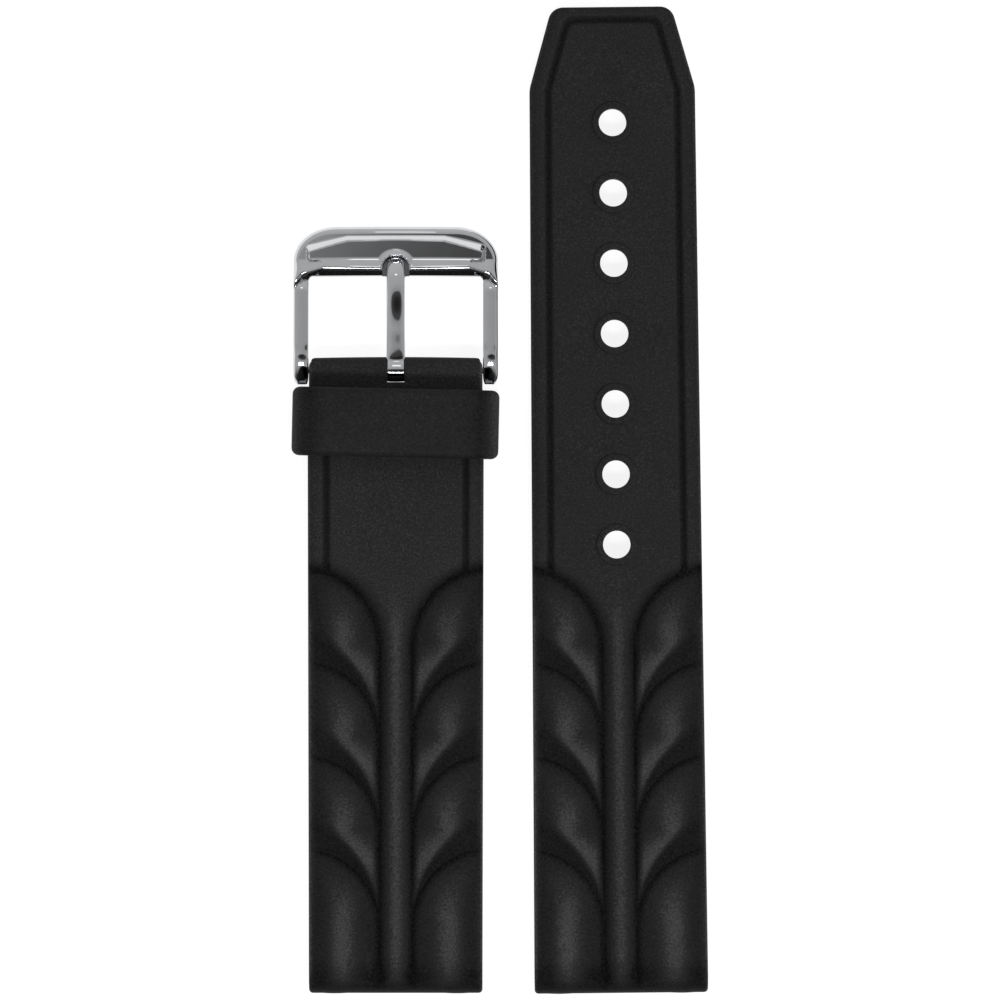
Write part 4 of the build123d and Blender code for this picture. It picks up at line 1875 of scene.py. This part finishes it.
@dataclass
class Tang:
    """The tang: a strip rolled round the spring bar, then a half-round tongue into the notch."""

    half_width: float = 1.08
    eye_bore: float = 0.8
    eye_wall: float = 0.55
    eye_start: float = -45.0
    eye_end: float = -270.0
    eye_step: float = 12.0
    side_share: float = 0.36
    side_start: float = 0.3
    side_length: float = 2.0
    middle_share: float = 0.45
    corner: float = 0.12
    corner_share: float = 0.4
    corner_lift: float = 0.3
    tip_reach: float = 13.05
    tip_thick: float = 0.25
    tip_step: float = 9.0
    eye_side_share: float = 0.85
    root_narrow: float = 0.97
    root_length: float = 1.6
    straight_start: float = 0.35
    roundness: float = 0.85
    under_line: tuple[tuple[float, float], ...] = (
        (0.35, 0.74), (0.75, 0.5), (1.15, 0.26), (1.7, 0.32), (3.0, 0.6), (4.2, 0.88),
        (5.0, 1.09), (6.3, 1.42), (7.6, 1.63), (9.0, 1.7), (9.75, 1.67), (10.75, 1.55),
        (11.2, 1.45), (11.9, 1.2), (12.5, 1.0), (13.05, 0.95),
    )
    top_line: tuple[tuple[float, float], ...] = (
        (0.35, 1.3), (0.68, 1.17), (0.95, 1.07), (1.3, 1.1), (2.0, 1.26), (3.0, 1.53),
        (4.2, 1.85), (5.0, 2.09), (5.6, 2.255), (6.3, 2.42), (7.0, 2.55), (7.6, 2.63),
        (8.3, 2.685), (9.0, 2.69), (9.75, 2.645), (10.3, 2.585), (10.75, 2.525), (11.2, 2.39),
        (11.9, 2.1), (12.5, 1.82), (13.05, 1.5),
    )
    step: float = 0.22
    around_top: int = 22
    sharp_degrees: float = 50.0

    def line(self, points: tuple[tuple[float, float], ...], along: float) -> float:
        """Height of a line drawn smoothly through points.

        Args:
            points: Distances from the bar and heights.
            along: Distance from the bar.

        Returns:
            The height in millimetres.
        """
        passed = sum(1 for point in points if point[0] <= along)
        number = max(0, min(len(points) - 2, passed - 1))
        before, start = points[max(number - 1, 0)], points[number]
        end, after = points[number + 1], points[min(number + 2, len(points) - 1)]
        span = end[0] - start[0]
        share = (along - start[0]) / span
        leave = (end[1] - before[1]) / (end[0] - before[0]) * span
        arrive = (after[1] - start[1]) / (after[0] - start[0]) * span
        first = (2 * share**3 - 3 * share**2 + 1) * start[1]
        first += (share**3 - 2 * share**2 + share) * leave
        return first + (-2 * share**3 + 3 * share**2) * end[1] + (share**3 - share**2) * arrive

    def stations(self) -> list[TongueSection]:
        """The sections, from the rolled end to the tip.

        Returns:
            The sections.
        """
        found = []
        for angle in (self.eye_start, *in_steps(self.eye_start, self.eye_end, self.eye_step)):
            way = Vector((0.0, math.cos(math.radians(angle)), math.sin(math.radians(angle))))
            outer = way * (self.eye_bore + self.eye_wall)
            found.append(
                TongueSection(way * self.eye_bore, outer, self.root_narrow, self.eye_side_share)
            )
        round_start = self.tip_reach - self.half_width
        for along in in_steps(self.straight_start - self.step, round_start, self.step)[1:]:
            grown = smooth_step(along / self.root_length)
            share = self.root_narrow + (1.0 - self.root_narrow) * grown
            found.append(self.station(along, share, 1.0))
        for angle in in_steps(0.0, 90.0, self.tip_step):
            turn = math.radians(angle)
            along = round_start + self.half_width * math.sin(turn)
            thick = self.tip_thick + (1.0 - self.tip_thick) * math.cos(turn)
            found.append(self.station(along, math.cos(turn), thick))
        return found

    def station(self, along: float, width: float, thick: float) -> TongueSection:
        """One section of the tongue.

        Args:
            along: Distance from the bar.
            width: Share of the full width.
            thick: Share of the full thickness.

        Returns:
            The section.
        """
        past_eye = smooth_step((along - self.side_start) / self.side_length)
        side = self.eye_side_share + (self.side_share - self.eye_side_share) * past_eye
        low, high = self.line(self.under_line, along), self.line(self.top_line, along)
        middle = low + (high - low) * self.middle_share
        return TongueSection(
            Vector((0.0, along, middle + (low - middle) * thick)),
            Vector((0.0, along, middle + (high - middle) * thick)),
            width,
            side,
        )

    def ring(self, section: TongueSection) -> list[Vector]:
        """The points round one section: flat inside, low upright sides, half-round outside.

        Args:
            section: The section.

        Returns:
            The points in millimetres.
        """
        inner, way = section.inner, section.outer - section.inner
        reach = self.half_width * section.width
        corner = min(self.corner, reach * self.corner_share)
        lift = self.corner_lift
        across = Vector((1.0, 0.0, 0.0))
        share = corner / max(way.length, 0.001)
        points = [
            inner - across * (reach - corner),
            inner,
            inner + across * (reach - corner),
            inner + across * (reach - lift * corner) + way * (lift * share),
            inner + across * reach + way * share,
        ]
        for number in range(self.around_top + 1):
            turn = math.pi * number / self.around_top
            rise = section.side + (1.0 - section.side) * math.sin(turn) ** self.roundness
            out = math.copysign(abs(math.cos(turn)) ** self.roundness, math.cos(turn))
            points.append(inner + across * (reach * out) + way * rise)
        points.append(inner - across * reach + way * share)
        points.append(inner - across * (reach - lift * corner) + way * (lift * share))
        return points

    def build(self, finish: bpy.types.Material) -> bpy.types.Object:
        """Makes the tang and dresses it.

        Args:
            finish: The polished steel.

        Returns:
            The piece.
        """
        drawn = pressed_tube([self.ring(section) for section in self.stations()])
        close_ends(drawn)
        piece = placed_piece("TangSteel", drawn, BUCKLE_PLACE, finish, self.sharp_degrees)
        return dress(piece, Body.TONGUE, Slot.POLISHED, "tang")


@dataclass
class SpringBar:
    """The spring bar: tube and tips in their CAD shapes, and a coil inside the tube."""

    drawn: tuple[str, ...] = ("spring_bar_tube", "spring_bar_tip_left", "spring_bar_tip_right")
    coil_radius: float = 0.36
    wire_radius: float = 0.1
    wire_sides: int = 8
    half_length: float = 6.5
    half_turns: int = 7
    steps_per_turn: int = 24
    tip_travel: float = 1.1
    sharp_degrees: float = 60.0

    def half_coil(self, name: str, side: float, satin: bpy.types.Material) -> None:
        """Winds one half of the coil, from the middle of the bar outwards.

        Args:
            name: The piece's name.
            side: -1 for the left half and 1 for the right one.
            satin: The drawn steel.
        """
        steps = self.half_turns * self.steps_per_turn
        start = Matrix.Translation((0.0, 0.0, self.coil_radius))
        drawn = bmesh.new()
        bmesh.ops.create_circle(
            drawn, segments=self.wire_sides, radius=self.wire_radius,
            matrix=start @ Matrix.Rotation(RIGHT_ANGLE, 4, "X"),
        )
        bmesh.ops.spin(
            drawn, geom=drawn.edges[:], cent=(0.0, 0.0, 0.0), axis=(side, 0.0, 0.0), steps=steps,
            angle=math.tau * self.half_turns, dvec=(side * self.half_length / steps, 0.0, 0.0),
        )
        close_ends(drawn)
        place = Matrix.Translation(BAR_AXIS)
        piece = placed_piece(name, drawn, place, satin, self.sharp_degrees)
        dress(piece, Body.BUCKLE_HALF, Slot.BAR, "spring_bar_spring")
        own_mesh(piece)

    def dress(self, satin: bpy.types.Material) -> None:
        """Gives each CAD node its steel, and winds the coil.

        Args:
            satin: The drawn steel.
        """
        for name in self.drawn:
            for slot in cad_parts[name].material_slots:
                slot.material = satin
            LOG.info("%s keeps its CAD shape, in %s", name, satin.name)
        self.half_coil("SpringCoilLeft", -1.0, satin)
        self.half_coil("SpringCoilRight", 1.0, satin)


@dataclass
class Studio:
    """A plain floor, three area lamps, and a room that is dark round the camera and towards -Y.

    A strip on the -Y side draws the highlight along the buckle's bead, and a small lamp on the
    +Y side the one on the tang. The wide softbox on the +X side lights the rubber, and the steel
    shows the room in its place.
    """

    view_width: float = 0.1156
    camera_height: float = 1.2
    sensor: float = 36.0
    floor_size: float = 6.0
    floor_glow: float = 0.87
    glow_colour: str = "#ffffff"
    matte_colour: str = "#8c8c8c"
    far_watts: float = 0.06
    far_size: tuple[float, float] = (0.14, 0.14)
    far_tilt: float = 40.0
    near_watts: float = 4.1
    near_size: tuple[float, float] = (0.5, 0.13)
    near_tilt: float = -26.0
    lamp_distance: float = 1.0
    side_watts: float = 6.0
    side_size: tuple[float, float] = (1.2, 1.2)
    side_tilt: float = 56.0
    side_turn: float = -90.0
    dark_stretch: float = 2.2
    dark_shift: float = 0.13
    near_dark: tuple[float, float] = (-0.75, -0.45)
    near_share: float = 0.15
    room: tuple[tuple[float, float], ...] = (
        (0.0, 0.02), (0.12, 0.03), (0.2, 0.07), (0.25, 0.08), (0.285, 0.38), (0.4, 0.5),
        (0.65, 0.56), (1.0, 0.64),
    )

    def lamp(
        self, name: str, watts: float, size: tuple[float, float], tilt: float, turn: float
    ) -> bpy.types.Object:
        """Adds an area lamp that looks at the origin.

        Args:
            name: Its name.
            watts: Its power.
            size: Its width and depth in metres.
            tilt: Degrees from straight above towards +Y.
            turn: Degrees that it is turned round the middle, towards -X.

        Returns:
            The lamp.
        """
        data = bpy.data.lights.new(name, "AREA")
        data.shape = "RECTANGLE"
        data.size, data.size_y = size
        data.energy = watts
        lamp = add_object(name, data)
        swing = Matrix.Rotation(math.radians(turn), 4, "Z")
        swing = swing @ Matrix.Rotation(math.radians(-tilt), 4, "X")
        lamp.matrix_world = swing @ Matrix.Translation((0.0, 0.0, self.lamp_distance))
        return lamp

    def floor(self) -> None:
        """Adds the white floor, which keeps the strap's shadow."""
        drawn = bmesh.new()
        bmesh.ops.create_grid(drawn, x_segments=1, y_segments=1, size=self.floor_size / 2.0)
        mesh = made_mesh("Floor", drawn)
        material, tree = new_material("WhiteTable")
        path = add_node(tree, "ShaderNodeLightPath", {})
        seen = path.outputs["Is Camera Ray"]
        for ray in ("Is Glossy Ray", "Is Transmission Ray"):
            sockets = {0: seen, 1: path.outputs[ray]}
            seen = add_node(tree, "ShaderNodeMath", {"operation": "MAXIMUM"}, sockets).outputs[0]
        glow = add_node(
            tree, "ShaderNodeMath", {"operation": "MULTIPLY", 1: self.floor_glow}, {0: seen}
        )
        light = add_node(
            tree, "ShaderNodeEmission", {"Color": linear(self.glow_colour)},
            {"Strength": glow.outputs[0]},
        )
        matte = add_node(tree, "ShaderNodeBsdfDiffuse", {"Color": linear(self.matte_colour)})
        both = add_node(
            tree, "ShaderNodeAddShader", {}, {0: light.outputs[0], 1: matte.outputs[0]}
        )
        add_node(tree, "ShaderNodeOutputMaterial", {}, {"Surface": both.outputs[0]})
        mesh.materials.append(material)
        floor = add_object("Floor", mesh)

    def walls(self) -> None:
        """Lights the room: pale all round, dark in a long patch overhead round the camera."""
        world = bpy.data.worlds.new("Room")
        world.use_nodes = True
        tree = world.node_tree
        tree.nodes.clear()
        where = add_node(tree, "ShaderNodeTexCoord", {})
        flat = add_node(
            tree, "ShaderNodeVectorMath",
            {
                "operation": "MULTIPLY_ADD", 1: (1.0 / self.dark_stretch, 1.0, 0.0),
                2: (-self.dark_shift / self.dark_stretch, 0.0, 0.0),
            },
            {0: where.outputs["Generated"]},
        )
        reach = add_node(
            tree, "ShaderNodeVectorMath", {"operation": "LENGTH"}, {0: flat.outputs["Vector"]}
        )
        level = add_node(tree, "ShaderNodeValToRGB", {}, {"Fac": reach.outputs["Value"]})
        stops = level.color_ramp.elements
        while len(stops) < len(self.room):
            stops.new(0.5)
        for stop, (place, grey) in zip(stops, self.room):
            stop.position = place
            stop.color = (grey, grey, grey, 1.0)
        split = add_node(tree, "ShaderNodeSeparateXYZ", {}, {0: where.outputs["Generated"]})
        near = add_node(
            tree, "ShaderNodeMapRange",
            {
                "From Min": self.near_dark[0], "From Max": self.near_dark[1],
                "To Min": self.near_share, "To Max": 1.0,
            },
            {"Value": split.outputs["Y"]},
        )
        sky = add_node(
            tree, "ShaderNodeBackground", {},
            {"Color": level.outputs["Color"], "Strength": near.outputs["Result"]},
        )
        add_node(tree, "ShaderNodeOutputWorld", {}, {"Surface": sky.outputs[0]})
        bpy.context.scene.world = world

    def camera(self) -> None:
        """Looks straight down from far above, as the photograph does."""
        data = bpy.data.cameras.new("Camera")
        data.sensor_width = self.sensor
        data.lens = self.sensor * self.camera_height / self.view_width
        camera = add_object("Camera", data)
        camera.location = (0.0, 0.0, self.camera_height)
        bpy.context.scene.camera = camera

    def build(self) -> None:
        """Makes the whole studio."""
        self.floor()
        self.walls()
        self.camera()
        self.lamp("FarLamp", self.far_watts, self.far_size, self.far_tilt, 0.0)
        self.lamp("NearStrip", self.near_watts, self.near_size, self.near_tilt, 0.0)
        softbox = self.lamp(
            "SideSoftbox", self.side_watts, self.side_size, self.side_tilt, self.side_turn
        )
        softbox.visible_glossy = False
        bpy.context.scene.view_settings.view_transform = "Standard"


def main() -> None:
    """Builds the strap piece by piece, then the studio."""
    logging.basicConfig(level=logging.INFO, format="%(message)s")
    rubber = MouldedRubber().build()
    polished = POLISHED_STEEL.build()
    satin = DRAWN_STEEL.build()
    BuckleHalf().build(rubber)
    HoleHalf().build(rubber)
    Keeper().build(rubber)
    BuckleFrame().build(polished)
    Tang().build(polished)
    SpringBar().dress(satin)
    Studio().build()


if __name__ == "__main__":
    main()
